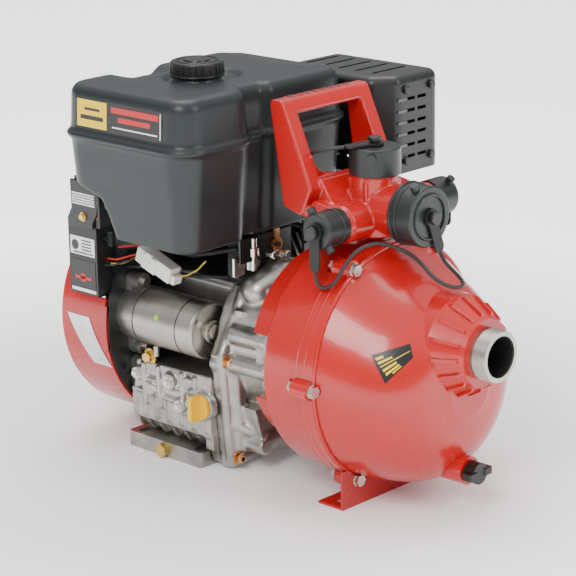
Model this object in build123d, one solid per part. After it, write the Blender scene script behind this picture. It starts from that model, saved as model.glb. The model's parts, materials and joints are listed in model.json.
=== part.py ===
from build123d import *
import os
from math import cos, sin, tan, pi, radians

# Portable fire pump: a petrol engine with a close-coupled, twin-impeller, self-priming pump.
# Frame: +Z up, the pump's suction inlet faces -Y, the starter motor is on the -X side.
# Origin: centre of the engine's four base slots, on the ground plane. Millimetres.

# ---- driving dimensions ----------------------------------------------------------------
SHAFT_Z = 160.0            # height of the crank and pump axis
JOINT_Y = -273.0           # plane where the two pump casings meet
FLANGE_T = 12.0            # thickness of each casing flange
FLANGE_R = 146.0
BOWL_R = 142.0             # outside radius of the pump bowl
WALL = 7.0                 # casting wall of the pump
BOSS_R = 62.4              # disc that surrounds the suction inlet
BOSS_Y = -382.0
BOSS_NOSE_Y = -420.0
BACK_Y = -209.0            # back wall of the pump
ENGINE_FACE_Y = -165.0     # face of the engine that the pump bolts to
BOLT_CIRCLE_R = 147.3
BOLT_COUNT = 6
ADAPTOR_CIRCLE_R = 96.0    # bolts between the pump and the engine
ADAPTOR_ANGLES = (30, 150, 210, 330)
INLET_Z = 198.0            # height of the suction inlet
INLET_R = 29.8             # 2 in pipe thread, over the crests
INLET_BORE_R = 24.5
INLET_END_Y = -442.0
MANIFOLD_Y = -254.0        # discharge manifold's vertical axis
MANIFOLD_Z = 333.0         # height of the side outlets
MAIN_OUTLET_Z = 344.0
NECK_Y = -235.0             # discharge neck of the rear casing, behind its flange
NECK_Z = 312.0
THREAD_PITCH = 2.309       # 11 threads per inch
BASE_X = 112.0             # half width of the engine base
BASE_T = 20.0
SLOT_X = 95.0              # base slots
SLOT_Y = 50.0
SLOT_R = 5.5
SLOT_LENGTH = 22.0
COVER_Y = -80.0            # joint between the cylinder block and its side cover
BLOCK_BACK_Y = 66.0
CYL_TILT = 25.0            # cylinder axis above the horizontal, towards +X
BORE_R = 42.0
THROW = 30.0
ROD_LENGTH = 90.0
PISTON_BASE = 133.0        # distance of the piston skirt from the crank axis, along the cylinder
PISTON_HEIGHT = 37.0
HEAD_START = 172.0
HEAD_END = 200.0
COVER_END = 220.0
BLOWER_R = 143.0
BLOWER_BACK_Y = 152.0
RECOIL_BACK_Y = 172.0
DIP_Y, DIP_Z = -68.0, 82.0  # oil filler
STARTER_X = -94.0
STARTER_Z = 175.0
STARTER_R = 35.8
STARTER_FRONT_Y = -70.0
TANK_X0, TANK_X1 = -204.0, 90.0
TANK_Y0, TANK_Y1 = -147.0, 65.0
TANK_BOTTOM_Z = 301.0
TANK_SEAM_Z = 422.5
TANK_TOP_Z = 483.0
TANK_WALL = 4.0
FUEL_CAP_X, FUEL_CAP_Y = -77.0, -41.0
FUEL_CAP_R = 32.0
GUARD = (117.0, 222.0, -168.0, 6.0, 341.0, 464.0)
RUN = 0.05                 # radial clearance of a running fit
GAP = 0.3                  # clearance between bodies that only come close

parts = {}


def save(name, shape):
    parts[name] = shape


# ---- small shape helpers ---------------------------------------------------------------
def block(x0, x1, y0, y1, z0, z1):
    centre = Pos((x0 + x1) / 2, (y0 + y1) / 2, (z0 + z1) / 2)
    return centre * Box(x1 - x0, y1 - y0, z1 - z0)


def soft_block(x0, x1, y0, y1, z0, z1, radius):
    shape = block(x0, x1, y0, y1, z0, z1)
    return fillet(shape.edges(), radius)


def rod_x(radius, x0, x1, y, z):
    return Pos((x0 + x1) / 2, y, z) * Rot(0, 90, 0) * Cylinder(radius, x1 - x0)


def rod_y(radius, y0, y1, x=0.0, z=SHAFT_Z):
    return Pos(x, (y0 + y1) / 2, z) * Rot(90, 0, 0) * Cylinder(radius, y1 - y0)


def rod_z(radius, z0, z1, x, y):
    return Pos(x, y, (z0 + z1) / 2) * Cylinder(radius, z1 - z0)


def ring_y(outer, inner, y0, y1, x=0.0, z=SHAFT_Z):
    return rod_y(outer, y0, y1, x, z) - rod_y(inner, y0 - 1, y1 + 1, x, z)


def cone_y(radius0, radius1, y0, y1, x=0.0, z=SHAFT_Z):
    """A cone along Y with radius0 at y0 and radius1 at y1."""
    return Pos(x, (y0 + y1) / 2, z) * Rot(-90, 0, 0) * Cone(radius0, radius1, y1 - y0)


def prism_x(points_yz, x0, x1):
    outline = Polyline(*[(x0, y, z) for y, z in points_yz], close=True)
    return extrude(make_face(outline), amount=x1 - x0, dir=(1, 0, 0))


def prism_y(points_xz, y0, y1):
    outline = Polyline(*[(x, y0, z) for x, z in points_xz], close=True)
    return extrude(make_face(outline), amount=y1 - y0, dir=(0, 1, 0))


def round_prism_y(points_xz, y0, y1, radius):
    """An extruded outline whose long edges are rounded."""
    shape = prism_y(points_xz, y0, y1)
    return fillet(shape.edges().filter_by(Axis.Y), radius)


def hex_head(y0, height, across, x, z):
    """A hexagon head that stands from y0 towards -Y."""
    head = extrude(RegularPolygon(across / 2, 6, major_radius=False), height)
    return Pos(x, y0, z) * Rot(90, 0, 0) * head


def on_circle(radius, angle, x=0.0, z=SHAFT_Z):
    """A point round a Y axis, with the angle measured from the top towards +X."""
    return x + radius * sin(radians(angle)), z + radius * cos(radians(angle))


def along_cylinder(distance):
    """Placement at a distance from the crank axis, with local Z along the cylinder."""
    x = distance * cos(radians(CYL_TILT))
    z = SHAFT_Z + distance * sin(radians(CYL_TILT))
    return Pos(x, 0, z) * Rot(0, 90 - CYL_TILT, 0)


def bored(distance0, distance1, radius):
    length = distance1 - distance0
    return along_cylinder((distance0 + distance1) / 2) * Cylinder(radius, length)


# ---- pump casings ----------------------------------------------------------------------
# The front bowl narrows towards the inlet while its centre sinks: y, centre height, radius.
BOWL_SECTIONS = [(JOINT_Y - FLANGE_T, SHAFT_Z, BOWL_R), (-305.0, 154.5, 134.5), (-330.0, 149.5, 125.5),
                 (-352.0, 146.5, 116.0), (-372.0, 146.0, 102.0), (-388.0, 148.0, 80.0),
                 (-398.0, 150.0, 34.0)]


def front_bowl(inset):
    """The front bowl's outer form, or its cavity when inset is the wall thickness."""
    start_y = BOWL_SECTIONS[0][0]
    sections = []
    for y, height, radius in BOWL_SECTIONS:
        moved_y = y if y == start_y else y + inset
        level = Plane(origin=(0, moved_y, height), x_dir=(1, 0, 0), z_dir=(0, -1, 0))
        sections.append(level * Circle(radius - inset))
    return loft(sections) + rod_y(BOWL_R - inset, start_y, JOINT_Y)


def flange_angles():
    return [30 + 360 / BOLT_COUNT * i for i in range(BOLT_COUNT)]


def flange(y0, y1):
    """A casing flange with a lug round each bolt."""
    plate = rod_y(FLANGE_R, y0, y1)
    for angle in flange_angles():
        x, z = on_circle(BOLT_CIRCLE_R, angle)
        plate += rod_y(11, y0, y1, x, z)
    return plate


def flange_holes(y0, y1):
    holes = []
    for angle in flange_angles():
        x, z = on_circle(BOLT_CIRCLE_R, angle)
        holes.append(rod_y(4.3, y0 - 1, y1 + 1, x, z))
    return holes


def spot_faces(y0, y1):
    """Clearance for the bolt heads and nuts in the side of the bowl."""
    faces = []
    for angle in flange_angles():
        x, z = on_circle(BOLT_CIRCLE_R, angle)
        faces.append(rod_y(8.5, y0, y1, x, z))
    return faces


SEAT_Y = -375.0            # inner end of the suction pipe, where the check valve closes
HINGE_Z = INLET_Z + 32.0   # check-valve hinge pin
HINGE_Y = SEAT_Y + 5.5
DRAIN_Z = 50.0
DRAIN_R = 8.0


def make_front_casing():
    front_y = JOINT_Y - FLANGE_T
    shell = front_bowl(0) + flange(front_y, JOINT_Y)
    shell += rod_y(BOSS_R, BOSS_Y, BOSS_Y + 30, z=INLET_Z)
    shell += cone_y(40, BOSS_R, BOSS_NOSE_Y, BOSS_Y, z=INLET_Z)
    rib_count = 16
    for i in range(rib_count):
        x, z = on_circle(50, 360 / rib_count * i, z=INLET_Z)
        rib = Pos(x, BOSS_Y - 16, z) * Rot(0, 360 / rib_count * i, 0) * Box(4, 34, 22)
        shell += rib & cone_y(44, BOSS_R + 3, BOSS_NOSE_Y, BOSS_Y, z=INLET_Z)
    shell += rod_y(17, -398, -345, z=DRAIN_Z)
    shell -= front_bowl(WALL)
    shell += rod_y(INLET_R + 2, -400, SEAT_Y, z=INLET_Z)
    for side in (-1, 1):
        inner, outer = sorted((side * 13, side * 18))
        shell += block(inner, outer, SEAT_Y - 6, HINGE_Y + 5, INLET_Z + 26, HINGE_Z + 6)
    shell -= rod_y(INLET_BORE_R, -430, SEAT_Y + 8, z=INLET_Z)
    shell -= rod_y(INLET_R - 2, -430, -404, z=INLET_Z)
    shell -= block(-12.5, 12.5, SEAT_Y, SEAT_Y + 14, INLET_Z + 20, HINGE_Z + 8)
    shell -= rod_x(2.5 + RUN, -20, 20, HINGE_Y, HINGE_Z)
    shell -= rod_y(DRAIN_R + RUN, -400, -330, z=DRAIN_Z)
    for hole in flange_holes(front_y, JOINT_Y) + spot_faces(front_y - 12, front_y):
        shell -= hole
    return shell


def make_rear_casing():
    back_flange_y = JOINT_Y + FLANGE_T
    shell = rod_y(BOWL_R, JOINT_Y, BACK_Y + WALL) + flange(JOINT_Y, back_flange_y)
    shell = fillet(shell.edges().group_by(Axis.Y)[-1], 6)
    shell -= rod_y(BOWL_R - WALL, JOINT_Y - 1, BACK_Y)
    neck = rod_z(25, 285, NECK_Z, 0, NECK_Y)
    shell += neck - rod_y(BOWL_R - WALL, JOINT_Y - 1, BACK_Y)
    shell -= rod_z(18, 270, NECK_Z + 1, 0, NECK_Y)
    adaptor = ring_y(122, 86, BACK_Y + WALL - 1, ENGINE_FACE_Y)
    for side in (-1, 1):
        inner, outer = sorted((side * 60, side * 130))
        adaptor -= block(inner, outer, -192, ENGINE_FACE_Y + 1, SHAFT_Z - 42, SHAFT_Z + 38)
    for angle in ADAPTOR_ANGLES:
        x, z = on_circle(ADAPTOR_CIRCLE_R, angle)
        adaptor += rod_y(12, -180, ENGINE_FACE_Y, x, z)
    shell += adaptor
    for angle in ADAPTOR_ANGLES:
        x, z = on_circle(ADAPTOR_CIRCLE_R, angle)
        shell -= rod_y(4.5, -181, ENGINE_FACE_Y + 1, x, z)
        shell -= rod_y(9, BACK_Y + WALL + 3, -180, x, z)
    shell -= rod_y(24, BACK_Y - 2, BACK_Y + WALL + 2)
    for hole in flange_holes(JOINT_Y, back_flange_y) + spot_faces(back_flange_y, back_flange_y + 14):
        shell -= hole
    return shell


def make_casing_bolts():
    bolts = []
    for angle in flange_angles():
        x, z = on_circle(BOLT_CIRCLE_R, angle)
        head_y = JOINT_Y - FLANGE_T
        if z < 60:
            head_y -= 3
        tail_y = JOINT_Y + FLANGE_T
        bolt = rod_y(4, head_y, tail_y + 10, x, z)
        bolt += rod_y(8, head_y - 2, head_y, x, z)
        bolt += hex_head(head_y - 2, 5.5, 13, x, z)
        bolt += hex_head(tail_y + 7, 7, 13, x, z)
        bolts.append(bolt)
    for angle in ADAPTOR_ANGLES:
        x, z = on_circle(ADAPTOR_CIRCLE_R, angle)
        bolts.append(rod_y(4, -180, ENGINE_FACE_Y + 12, x, z) + hex_head(-180, 7, 13, x, z))
    for x, z in FACE_BOLTS:
        bolt = rod_y(4, ENGINE_FACE_Y - 2, ENGINE_FACE_Y + 12, x, z)
        bolt += rod_y(9, ENGINE_FACE_Y - 2, ENGINE_FACE_Y, x, z)
        bolts.append(bolt + hex_head(ENGINE_FACE_Y - 2, 7, 13, x, z))
    return Compound(children=bolts)


def make_pump_foot():
    face_y = JOINT_Y - FLANGE_T
    plate = block(-98.5, 98.5, face_y - 3, face_y, 0, 48)
    plate += block(-98.5, 98.5, face_y - 3, face_y + 36, 0, 3)
    plate -= rod_y(BOWL_R + 0.6, face_y - 5, face_y + 1)
    for angle in flange_angles():
        x, z = on_circle(BOLT_CIRCLE_R, angle)
        plate -= rod_y(4.3, face_y - 5, face_y + 1, x, z)
    for side in (-1, 1):
        plate -= rod_z(4.5, -1, 4, side * 80, face_y + 18)
    return plate


def make_drain_plug():
    plug = rod_y(DRAIN_R, -398, -378, z=DRAIN_Z)
    plug += rod_y(13, -414, -400, z=DRAIN_Z)
    plug += rod_y(DRAIN_R, -401, -397, z=DRAIN_Z)
    for side in (-1, 1):
        inner, outer = sorted((side * 6, side * 21))
        wing = block(inner, outer, -416, -402, DRAIN_Z - 4, DRAIN_Z + 4)
        plug += fillet(wing.edges().filter_by(Axis.Z), 3)
    return plug


def make_flap():
    flap = rod_y(INLET_R - 1.5, SEAT_Y + GAP, SEAT_Y + 4.5, z=INLET_Z)
    flap += block(-12, 12, SEAT_Y + GAP, SEAT_Y + 4.5, INLET_Z, HINGE_Z)
    flap += rod_x(5, -12, 12, HINGE_Y, HINGE_Z)
    flap -= block(-13, 13, SEAT_Y - 8, SEAT_Y + GAP, INLET_Z + 20, HINGE_Z - 4)
    return flap + rod_x(2.5, -19, 19, HINGE_Y, HINGE_Z)


# ---- pump internals --------------------------------------------------------------------
SHAFT_R = 12.5             # pump end of the crankshaft
IMPELLER_R = 62.0
FIRST_Y = -322.0           # front faces of the two impellers
SECOND_Y = -262.0
IMPELLER_W = 18.0


def make_impeller(front_y):
    """A closed impeller: two shrouds with curved vanes between them, on a hub."""
    back_y = front_y + IMPELLER_W
    wheel = rod_y(IMPELLER_R, back_y - 4, back_y)
    wheel += ring_y(IMPELLER_R, 24, front_y, front_y + 3)
    wheel += rod_y(18, front_y + 4, back_y)
    vane_count = 6
    for i in range(vane_count):
        vane = Pos(0, (front_y + back_y) / 2, SHAFT_Z) * Rot(0, 360 / vane_count * i, 0)
        vane *= Pos(39, 0, 8) * Rot(0, 25, 0) * Box(44, IMPELLER_W - 4, 3)
        wheel += vane & rod_y(IMPELLER_R, front_y, back_y)
    return wheel - rod_y(SHAFT_R, front_y - 1, back_y + 1)


def make_interstage_diffuser():
    bowl_in = BOWL_R - WALL
    body = rod_y(bowl_in - 1, -284.5, -279) + ring_y(88, 66, -326, -284)
    body += ring_y(88, 27, -330, -325)
    vane_count = 8
    for i in range(vane_count):
        vane = Pos(0, -278, SHAFT_Z) * Rot(0, 360 / vane_count * i, 0)
        body += vane * Pos(70, 0, 0) * Rot(0, 35, 0) * Box(44, 13, 3)
    return body - rod_y(22, -300, -270)


def make_discharge_diffuser():
    body = ring_y(90, 66, -266, -236) + ring_y(90, 28, -240, -234)
    vane_count = 8
    for i in range(vane_count):
        vane = Pos(0, -256, SHAFT_Z) * Rot(0, 360 / vane_count * i, 0)
        body += vane * Pos(98, 0, 0) * Rot(0, 50, 0) * Box(26, 16, 3)
    for i in range(3):
        x, z = on_circle(80, 120 * i)
        body += rod_y(6, -236, BACK_Y, x, z)
    return body


# ---- discharge manifold with handle ----------------------------------------------------
SIDE_NIPPLE_R = 16.6       # 1 in pipe thread
MAIN_NIPPLE_R = 29.8       # 2 in pipe thread
PRIME_NIPPLE_R = 23.9      # 1.5 in pipe thread
LEFT_CAP = (65.0, 102.0, 21.0)    # each cap: rim, face and radius
RIGHT_CAP = (95.0, 127.0, 23.0)
MAIN_CAP = (-303.0, -337.0, 36.0)
PRIME_CAP = (384.0, 416.0, 30.5)
NIPPLE_LENGTH = 25.0
SHORT_TAG, LONG_TAG = 32.0, 40.0
LUG_REACH = 7.5
ARM_IN, ARM_OUT = 55.0, 75.0


def make_handle():
    """Two side arms, a grip bar with pockets and a web plate, leaning back."""
    side = [(-222, 371), (-177, 470), (-157, 470), (-177, 346), (-206, 337)]
    handle = None
    for x0, x1 in ((-ARM_OUT, -ARM_IN), (ARM_IN, ARM_OUT)):
        arm = prism_x(side, x0, x1)
        arm = fillet(arm.edges().filter_by(Axis.X), 6)
        handle = arm if handle is None else handle + arm
    grip = prism_x([(-185, 452), (-177, 470), (-157, 470), (-160, 452)], -ARM_IN - 2, ARM_IN + 2)
    handle += fillet(grip.edges().filter_by(Axis.X), 4)
    web = prism_x([(-222, 371), (-206, 333), (-192, 333), (-204, 378), (-219, 378)], -60, 60)
    handle += web
    pocket_count = 8
    pitch = 13.5
    for i in range(pocket_count):
        x = (i - (pocket_count - 1) / 2) * pitch
        handle -= block(x - 4, x + 4, -172, -162, 464, 472)
    return handle


def make_manifold():
    body = rod_z(31, NECK_Z, 352, 0, MANIFOLD_Y) + rod_z(28, 350, 384, 0, MANIFOLD_Y)
    body += rod_z(27, NECK_Z, 340, 0, NECK_Y)
    body += rod_x(22.5, 5 - LEFT_CAP[0], RIGHT_CAP[0] - 5, MANIFOLD_Y, MANIFOLD_Z)
    body += rod_y(29.5, MAIN_CAP[0] + 1, MANIFOLD_Y, z=MAIN_OUTLET_Z)
    body = fillet(body.edges().group_by(Axis.Z)[-1], 1.5)
    gusset = prism_x([(-254, 382), (-254, 318), (-206, 334), (-212, 362), (-222, 374)], -14, 14)
    body += gusset + make_handle()
    body += block(-52, 52, -226, -200, 330, 352)
    left_end = -LEFT_CAP[0] - NIPPLE_LENGTH
    right_end = RIGHT_CAP[0] + NIPPLE_LENGTH
    body += rod_x(SIDE_NIPPLE_R, left_end, right_end, MANIFOLD_Y, MANIFOLD_Z)
    body += rod_x(20.5, 1 - LEFT_CAP[0], 9 - LEFT_CAP[0], MANIFOLD_Y, MANIFOLD_Z)
    body += rod_x(22, RIGHT_CAP[0] - 9, RIGHT_CAP[0] - 1, MANIFOLD_Y, MANIFOLD_Z)
    end_y = MAIN_CAP[0] - NIPPLE_LENGTH
    body += rod_y(MAIN_NIPPLE_R, end_y, MANIFOLD_Y, z=MAIN_OUTLET_Z)
    body += rod_z(PRIME_NIPPLE_R, 380, PRIME_CAP[0] + 20, 0, MANIFOLD_Y)
    body -= rod_z(19, NECK_Z + 8, PRIME_CAP[0] + 21, 0, MANIFOLD_Y)
    body -= rod_z(18, NECK_Z - 1, 334, 0, NECK_Y)
    body -= rod_x(12.5, left_end - 1, right_end + 1, MANIFOLD_Y, MANIFOLD_Z)
    body -= rod_y(24, end_y - 1, MANIFOLD_Y, z=MAIN_OUTLET_Z)
    return body - block(-45, 45, -292, -196, NECK_Z - 12, NECK_Z)


def cap_cup(radius, nipple_radius, height, depth):
    """A screw cap standing on the XY plane, open downwards, with a knob for its strap."""
    cup = Pos(0, 0, height / 2) * Cylinder(radius, height)
    cup = fillet(cup.edges().group_by(Axis.Z)[-1], 2)
    for side in (-1, 1):
        lug = Pos(side * (radius + LUG_REACH / 2 - 1.5), 0, height - 8.5) * Rot(0, 90, 0)
        cup += lug * Cylinder(5, LUG_REACH + 3)
    cup += Pos(0, 0, height + 3) * Cylinder(5, 8)
    knob = Pos(0, 0, height + 8.5) * Cylinder(8, 5)
    cup += fillet(knob.edges(), 1.5)
    cup -= Pos(0, 0, depth / 2 - 0.5) * Cylinder(nipple_radius + GAP, depth + 1)
    return cup


def cap_tag(tail):
    """The strap's flat end: an eye that sits under the cap's knob, with a rounded tail."""
    tag = Cylinder(10.5, 2.6)
    blade = Pos(0, -tail / 2, 0) * Box(15, tail, 2.6)
    tag += blade + Pos(0, -tail, 0) * Cylinder(7.5, 2.6)
    return tag - Cylinder(5 + GAP, 5)


def cap_stations():
    """Each cap's placement, with local Z the way it unscrews, then its cap and tag dimensions."""
    left0, left1, left_r = LEFT_CAP
    right0, right1, right_r = RIGHT_CAP
    main0, main1, main_r = MAIN_CAP
    prime0, prime1, prime_r = PRIME_CAP
    left = Pos(-left0, MANIFOLD_Y, MANIFOLD_Z) * Rot(0, -90, 0)
    right = Pos(right0, MANIFOLD_Y, MANIFOLD_Z) * Rot(0, 90, 0)
    main = Pos(0, main0, MAIN_OUTLET_Z) * Rot(90, 0, 0)
    prime = Pos(0, MANIFOLD_Y, prime0)
    depth = NIPPLE_LENGTH + 2
    return {
        "left_outlet": (left, left_r, SIDE_NIPPLE_R, left1 - left0, depth, 35, -90, LONG_TAG),
        "right_outlet": (right, right_r, SIDE_NIPPLE_R, right1 - right0, depth, 35, 90, SHORT_TAG),
        "main_outlet": (main, main_r, MAIN_NIPPLE_R, main0 - main1, depth, 115, 20, LONG_TAG),
        "priming": (prime, prime_r, PRIME_NIPPLE_R, prime1 - prime0, 23, 35, -110, SHORT_TAG),
    }


def make_caps():
    for name, (place, radius, nipple, height, depth, turn, tag_turn, tail) in cap_stations().items():
        cup = cap_cup(radius, nipple, height, depth)
        save(name + "_cap", place * Rot(0, 0, turn) * cup)
        tag = Pos(0, 0, height + 2.4) * Rot(0, 0, tag_turn) * cap_tag(tail)
        save(name + "_strap_tag", place * tag)


# ---- engine ----------------------------------------------------------------------------
COVER_OUTLINE = [(-62, 228), (62, 228), (106, 150), (98, 60), (92, 4), (-92, 4), (-98, 60), (-106, 150)]
RIM_OUTLINE = [(-57, 228), (62, 228), (104, 170), (98, 60), (92, 4), (-92, 4), (-104, 60),
               (-106, 117), (-57, 121)]
BLOCK_OUTLINE = [(-57, 228), (62, 228), (104, 170), (96, 68), (78, 40), (78, 4), (-78, 4), (-78, 40),
                 (-104, 68), (-106, 117), (-57, 121)]
BLOCK_CAVITY = [(-53, 222), (56, 222), (92, 160), (88, 72), (70, 46), (70, 28), (-70, 28), (-70, 46),
                (-94, 72), (-96, 111), (-53, 115)]
COVER_BOLTS = [(-52, 217), (52, 217), (-97, 139), (97, 139), (-82, 14), (82, 14), (-14, 12)]
FACE_BOLTS = [(-86, 176), (-91, 141), (86, 176), (91, 141)]
CAM_X, CAM_Z = 0.0, 94.0
CRANK_GEAR_R, CAM_GEAR_R = 21.9, 43.8


def base_slots():
    half = SLOT_LENGTH / 2 - SLOT_R
    slots = []
    for x in (-SLOT_X, SLOT_X):
        for y in (-SLOT_Y, SLOT_Y):
            slots.append(block(x - half, x + half, y - SLOT_R, y + SLOT_R, -1, BASE_T + 1))
            slots.append(rod_z(SLOT_R, -1, BASE_T + 1, x - half, y))
            slots.append(rod_z(SLOT_R, -1, BASE_T + 1, x + half, y))
    return slots


def make_block():
    """Crankcase with its finned barrel, base and a rim for the side cover."""
    body = round_prism_y(BLOCK_OUTLINE, COVER_Y, BLOCK_BACK_Y, 9)
    body += round_prism_y(RIM_OUTLINE, COVER_Y, COVER_Y + 13, 9)
    barrel = bored(60, HEAD_START, 54)
    fin_count = 8
    for i in range(fin_count):
        fin = along_cylinder(96 + 10 * i) * Box(132, 124, 3)
        barrel += fin
    body += barrel
    base = block(-BASE_X, BASE_X, COVER_Y + 15, BLOCK_BACK_Y, 0, BASE_T)
    body += fillet(base.edges().filter_by(Axis.Z), 5)
    body -= round_prism_y(BLOCK_CAVITY, COVER_Y - 1, 56, 3)
    body -= bored(40, HEAD_START + 1, BORE_R)
    body -= rod_y(31, 50, 67)
    body -= rod_y(8 + RUN, 50, 61, CAM_X, CAM_Z)
    body += rod_x(11.5, -112, -98, DIP_Y, DIP_Z)
    body -= rod_x(9 + RUN, -113, -80, DIP_Y, DIP_Z)
    for slot in base_slots():
        body -= slot
    body -= rod_x(7, -BASE_X - 1, -60, 0, 10)
    for x, z in COVER_BOLTS:
        body -= rod_y(4, COVER_Y - 1, COVER_Y + 8, x, z)
    return body


def make_side_cover():
    body = round_prism_y(COVER_OUTLINE, COVER_Y - 16, COVER_Y, 9)
    hub = cone_y(104, 112, ENGINE_FACE_Y, COVER_Y - 14) & round_prism_y(
        COVER_OUTLINE, ENGINE_FACE_Y, COVER_Y, 9)
    body += hub
    dome = Pos(-38, -132, 236) * Sphere(30)
    body += dome & block(-80, 0, ENGINE_FACE_Y, COVER_Y, 200, 270)
    body += rod_y(20, ENGINE_FACE_Y, COVER_Y, -38, 226)
    cavity = cone_y(72, 86, ENGINE_FACE_Y + 14, COVER_Y + 1)
    body -= cavity & block(-88, 88, -160, COVER_Y + 1, 30, 216)
    body -= rod_y(31, ENGINE_FACE_Y + 12, -140)
    body -= rod_y(20, ENGINE_FACE_Y - 1, -140)
    for x, z in COVER_BOLTS:
        body -= rod_y(4.2, ENGINE_FACE_Y - 8, COVER_Y + 1, x, z)
        body -= rod_y(9.5, ENGINE_FACE_Y - 8, COVER_Y - 16, x, z)
    for angle in ADAPTOR_ANGLES:
        x, z = on_circle(ADAPTOR_CIRCLE_R, angle)
        body -= rod_y(4, ENGINE_FACE_Y - 1, ENGINE_FACE_Y + 14, x, z)
    for x, z in FACE_BOLTS:
        body -= rod_y(4, ENGINE_FACE_Y - 1, ENGINE_FACE_Y + 14, x, z)
    return body


def make_cover_bolts():
    bolts = []
    for x, z in COVER_BOLTS:
        bolt = rod_y(4, COVER_Y - 16, COVER_Y + 6, x, z)
        bolt += rod_y(8, COVER_Y - 17.5, COVER_Y - 16, x, z)
        bolt += hex_head(COVER_Y - 17.5, 6, 12, x, z)
        bolts.append(bolt)
    return Compound(children=bolts)


def crank_direction():
    return cos(radians(CYL_TILT)), sin(radians(CYL_TILT))


def make_crankshaft():
    dx, dz = crank_direction()
    pin_x, pin_z = THROW * dx, SHAFT_Z + THROW * dz
    shaft = rod_y(15, -138, -18) + rod_y(SHAFT_R, -345, -137)
    shaft += rod_y(15, 18, 92) + rod_y(11, 91, 136)
    shaft += rod_y(50, -30, -16) + rod_y(50, 16, 30)
    shaft += rod_y(16, -17, 17, pin_x, pin_z)
    shaft += rod_y(CRANK_GEAR_R, -62, -50)
    return shaft


def make_conrod():
    dx, dz = crank_direction()
    pin_x, pin_z = THROW * dx, SHAFT_Z + THROW * dz
    eye_x, eye_z = (THROW + ROD_LENGTH) * dx, SHAFT_Z + (THROW + ROD_LENGTH) * dz
    rod = rod_y(21, -11, 11, pin_x, pin_z) + rod_y(10, -9, 9, eye_x, eye_z)
    shank = along_cylinder(THROW + ROD_LENGTH / 2 + 6) * Box(13, 9, ROD_LENGTH - 20)
    rod += shank
    return rod - rod_y(16 + RUN, -12, 12, pin_x, pin_z) - rod_y(5, -12, 12, eye_x, eye_z)


def make_piston():
    """A hollow piston; its rings and pin are one with it."""
    top = PISTON_BASE + PISTON_HEIGHT
    piston = bored(PISTON_BASE, top, BORE_R - 0.6) - bored(PISTON_BASE - 1, top - 7, BORE_R - 6)
    for i in range(3):
        level = top - 5 - 5 * i
        piston += bored(level - 2, level, BORE_R - RUN) - bored(level - 3, level + 1, BORE_R - 3)
    return piston + along_cylinder(PISTON_BASE + 15) * Rot(90, 0, 0) * Cylinder(8, 76)


def make_head():
    mid = (HEAD_START + HEAD_END) / 2
    head = along_cylinder(mid) * Box(120, 120, HEAD_END - HEAD_START)
    head = fillet(head.edges(), 4)
    for i in range(4):
        level = HEAD_START + 5 + 6 * i
        head += along_cylinder(level) * Box(134, 126, 2.4)
    head -= bored(HEAD_START - 1, HEAD_START + 9, 36)
    return head - along_cylinder(mid) * Pos(-40, 0, 0) * Rot(0, 90, 0) * Cylinder(7 + RUN, 70)


def make_valve_cover():
    mid = (HEAD_END + COVER_END) / 2
    cover = along_cylinder(mid) * Box(86, 96, COVER_END - HEAD_END)
    return fillet(cover.edges(), 5)


def make_spark_plug():
    mid = (HEAD_START + HEAD_END) / 2
    place = along_cylinder(mid) * Rot(0, 90, 0)
    plug = place * Pos(0, 0, -58) * Cylinder(7, 34)
    plug += place * Pos(0, 0, -79) * Cylinder(10, 12)
    plug += place * Pos(0, 0, -96) * Cylinder(5, 26)
    return plug


def make_flywheel():
    wheel = rod_y(92, 94, 112) + rod_y(28, 92, 120) - ring_y(82, 40, 93, 106)
    blade_count = 16
    for i in range(blade_count):
        blade = Pos(0, 118, SHAFT_Z) * Rot(0, 360 / blade_count * i, 0)
        blade *= Pos(74, 0, 0) * Rot(0, 20, 0) * Box(32, 13, 2.5)
        wheel += blade
    return wheel - rod_y(11, 90, 122)


def make_blower_housing():
    shell = rod_y(BLOWER_R, BLOCK_BACK_Y, BLOWER_BACK_Y)
    scroll = round_prism_y([(0, 30), (206, 160), (206, 300), (150, 322), (20, 302)],
                           BLOCK_BACK_Y, BLOWER_BACK_Y - 8, 22)
    shell += scroll
    cap = cone_y(118, 86, BLOWER_BACK_Y - 1, RECOIL_BACK_Y)
    cavity = rod_y(BLOWER_R - 3, BLOCK_BACK_Y - 1, BLOWER_BACK_Y - 3)
    cavity += round_prism_y([(0, 34), (202, 162), (202, 297), (148, 318), (22, 298)],
                            BLOCK_BACK_Y - 1, BLOWER_BACK_Y - 11, 20)
    cavity += cone_y(115, 83, BLOWER_BACK_Y - 4, RECOIL_BACK_Y - 3)
    shell = fillet(shell.edges().group_by(Axis.Y)[-1], 5) + cap
    shell -= cavity
    slot_count = 20
    for i in range(slot_count):
        slot = Pos(0, RECOIL_BACK_Y, SHAFT_Z) * Rot(0, 360 / slot_count * i, 0)
        shell -= slot * Pos(62, 0, 0) * Box(34, 8, 6)
    shell -= block(-152, -117, 60, 125, 198, 300)
    shell -= rod_z(3, 225, 400, 40, 145)
    shell -= block(-140, -50, 60, 70, 130, 215)
    return shell + rod_y(8, 139, RECOIL_BACK_Y - 2)


PULLEY_R = 60.0


def make_recoil_pulley():
    wheel = ring_y(PULLEY_R + 6, 8 + RUN, 140, 143) + ring_y(PULLEY_R + 6, 8 + RUN, 150, 153)
    wheel += ring_y(PULLEY_R, 8 + RUN, 142, 151)
    return wheel


GRIP_X, GRIP_Y, GRIP_Z = 40.0, 147.0, 322.0


def make_recoil_grip():
    grip = Pos(GRIP_X, GRIP_Y, GRIP_Z + 9) * Box(56, 14, 16)
    grip = fillet(grip.edges(), 5)
    return grip + rod_z(6, GRIP_Z - 2, GRIP_Z + 4, GRIP_X, GRIP_Y)


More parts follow.
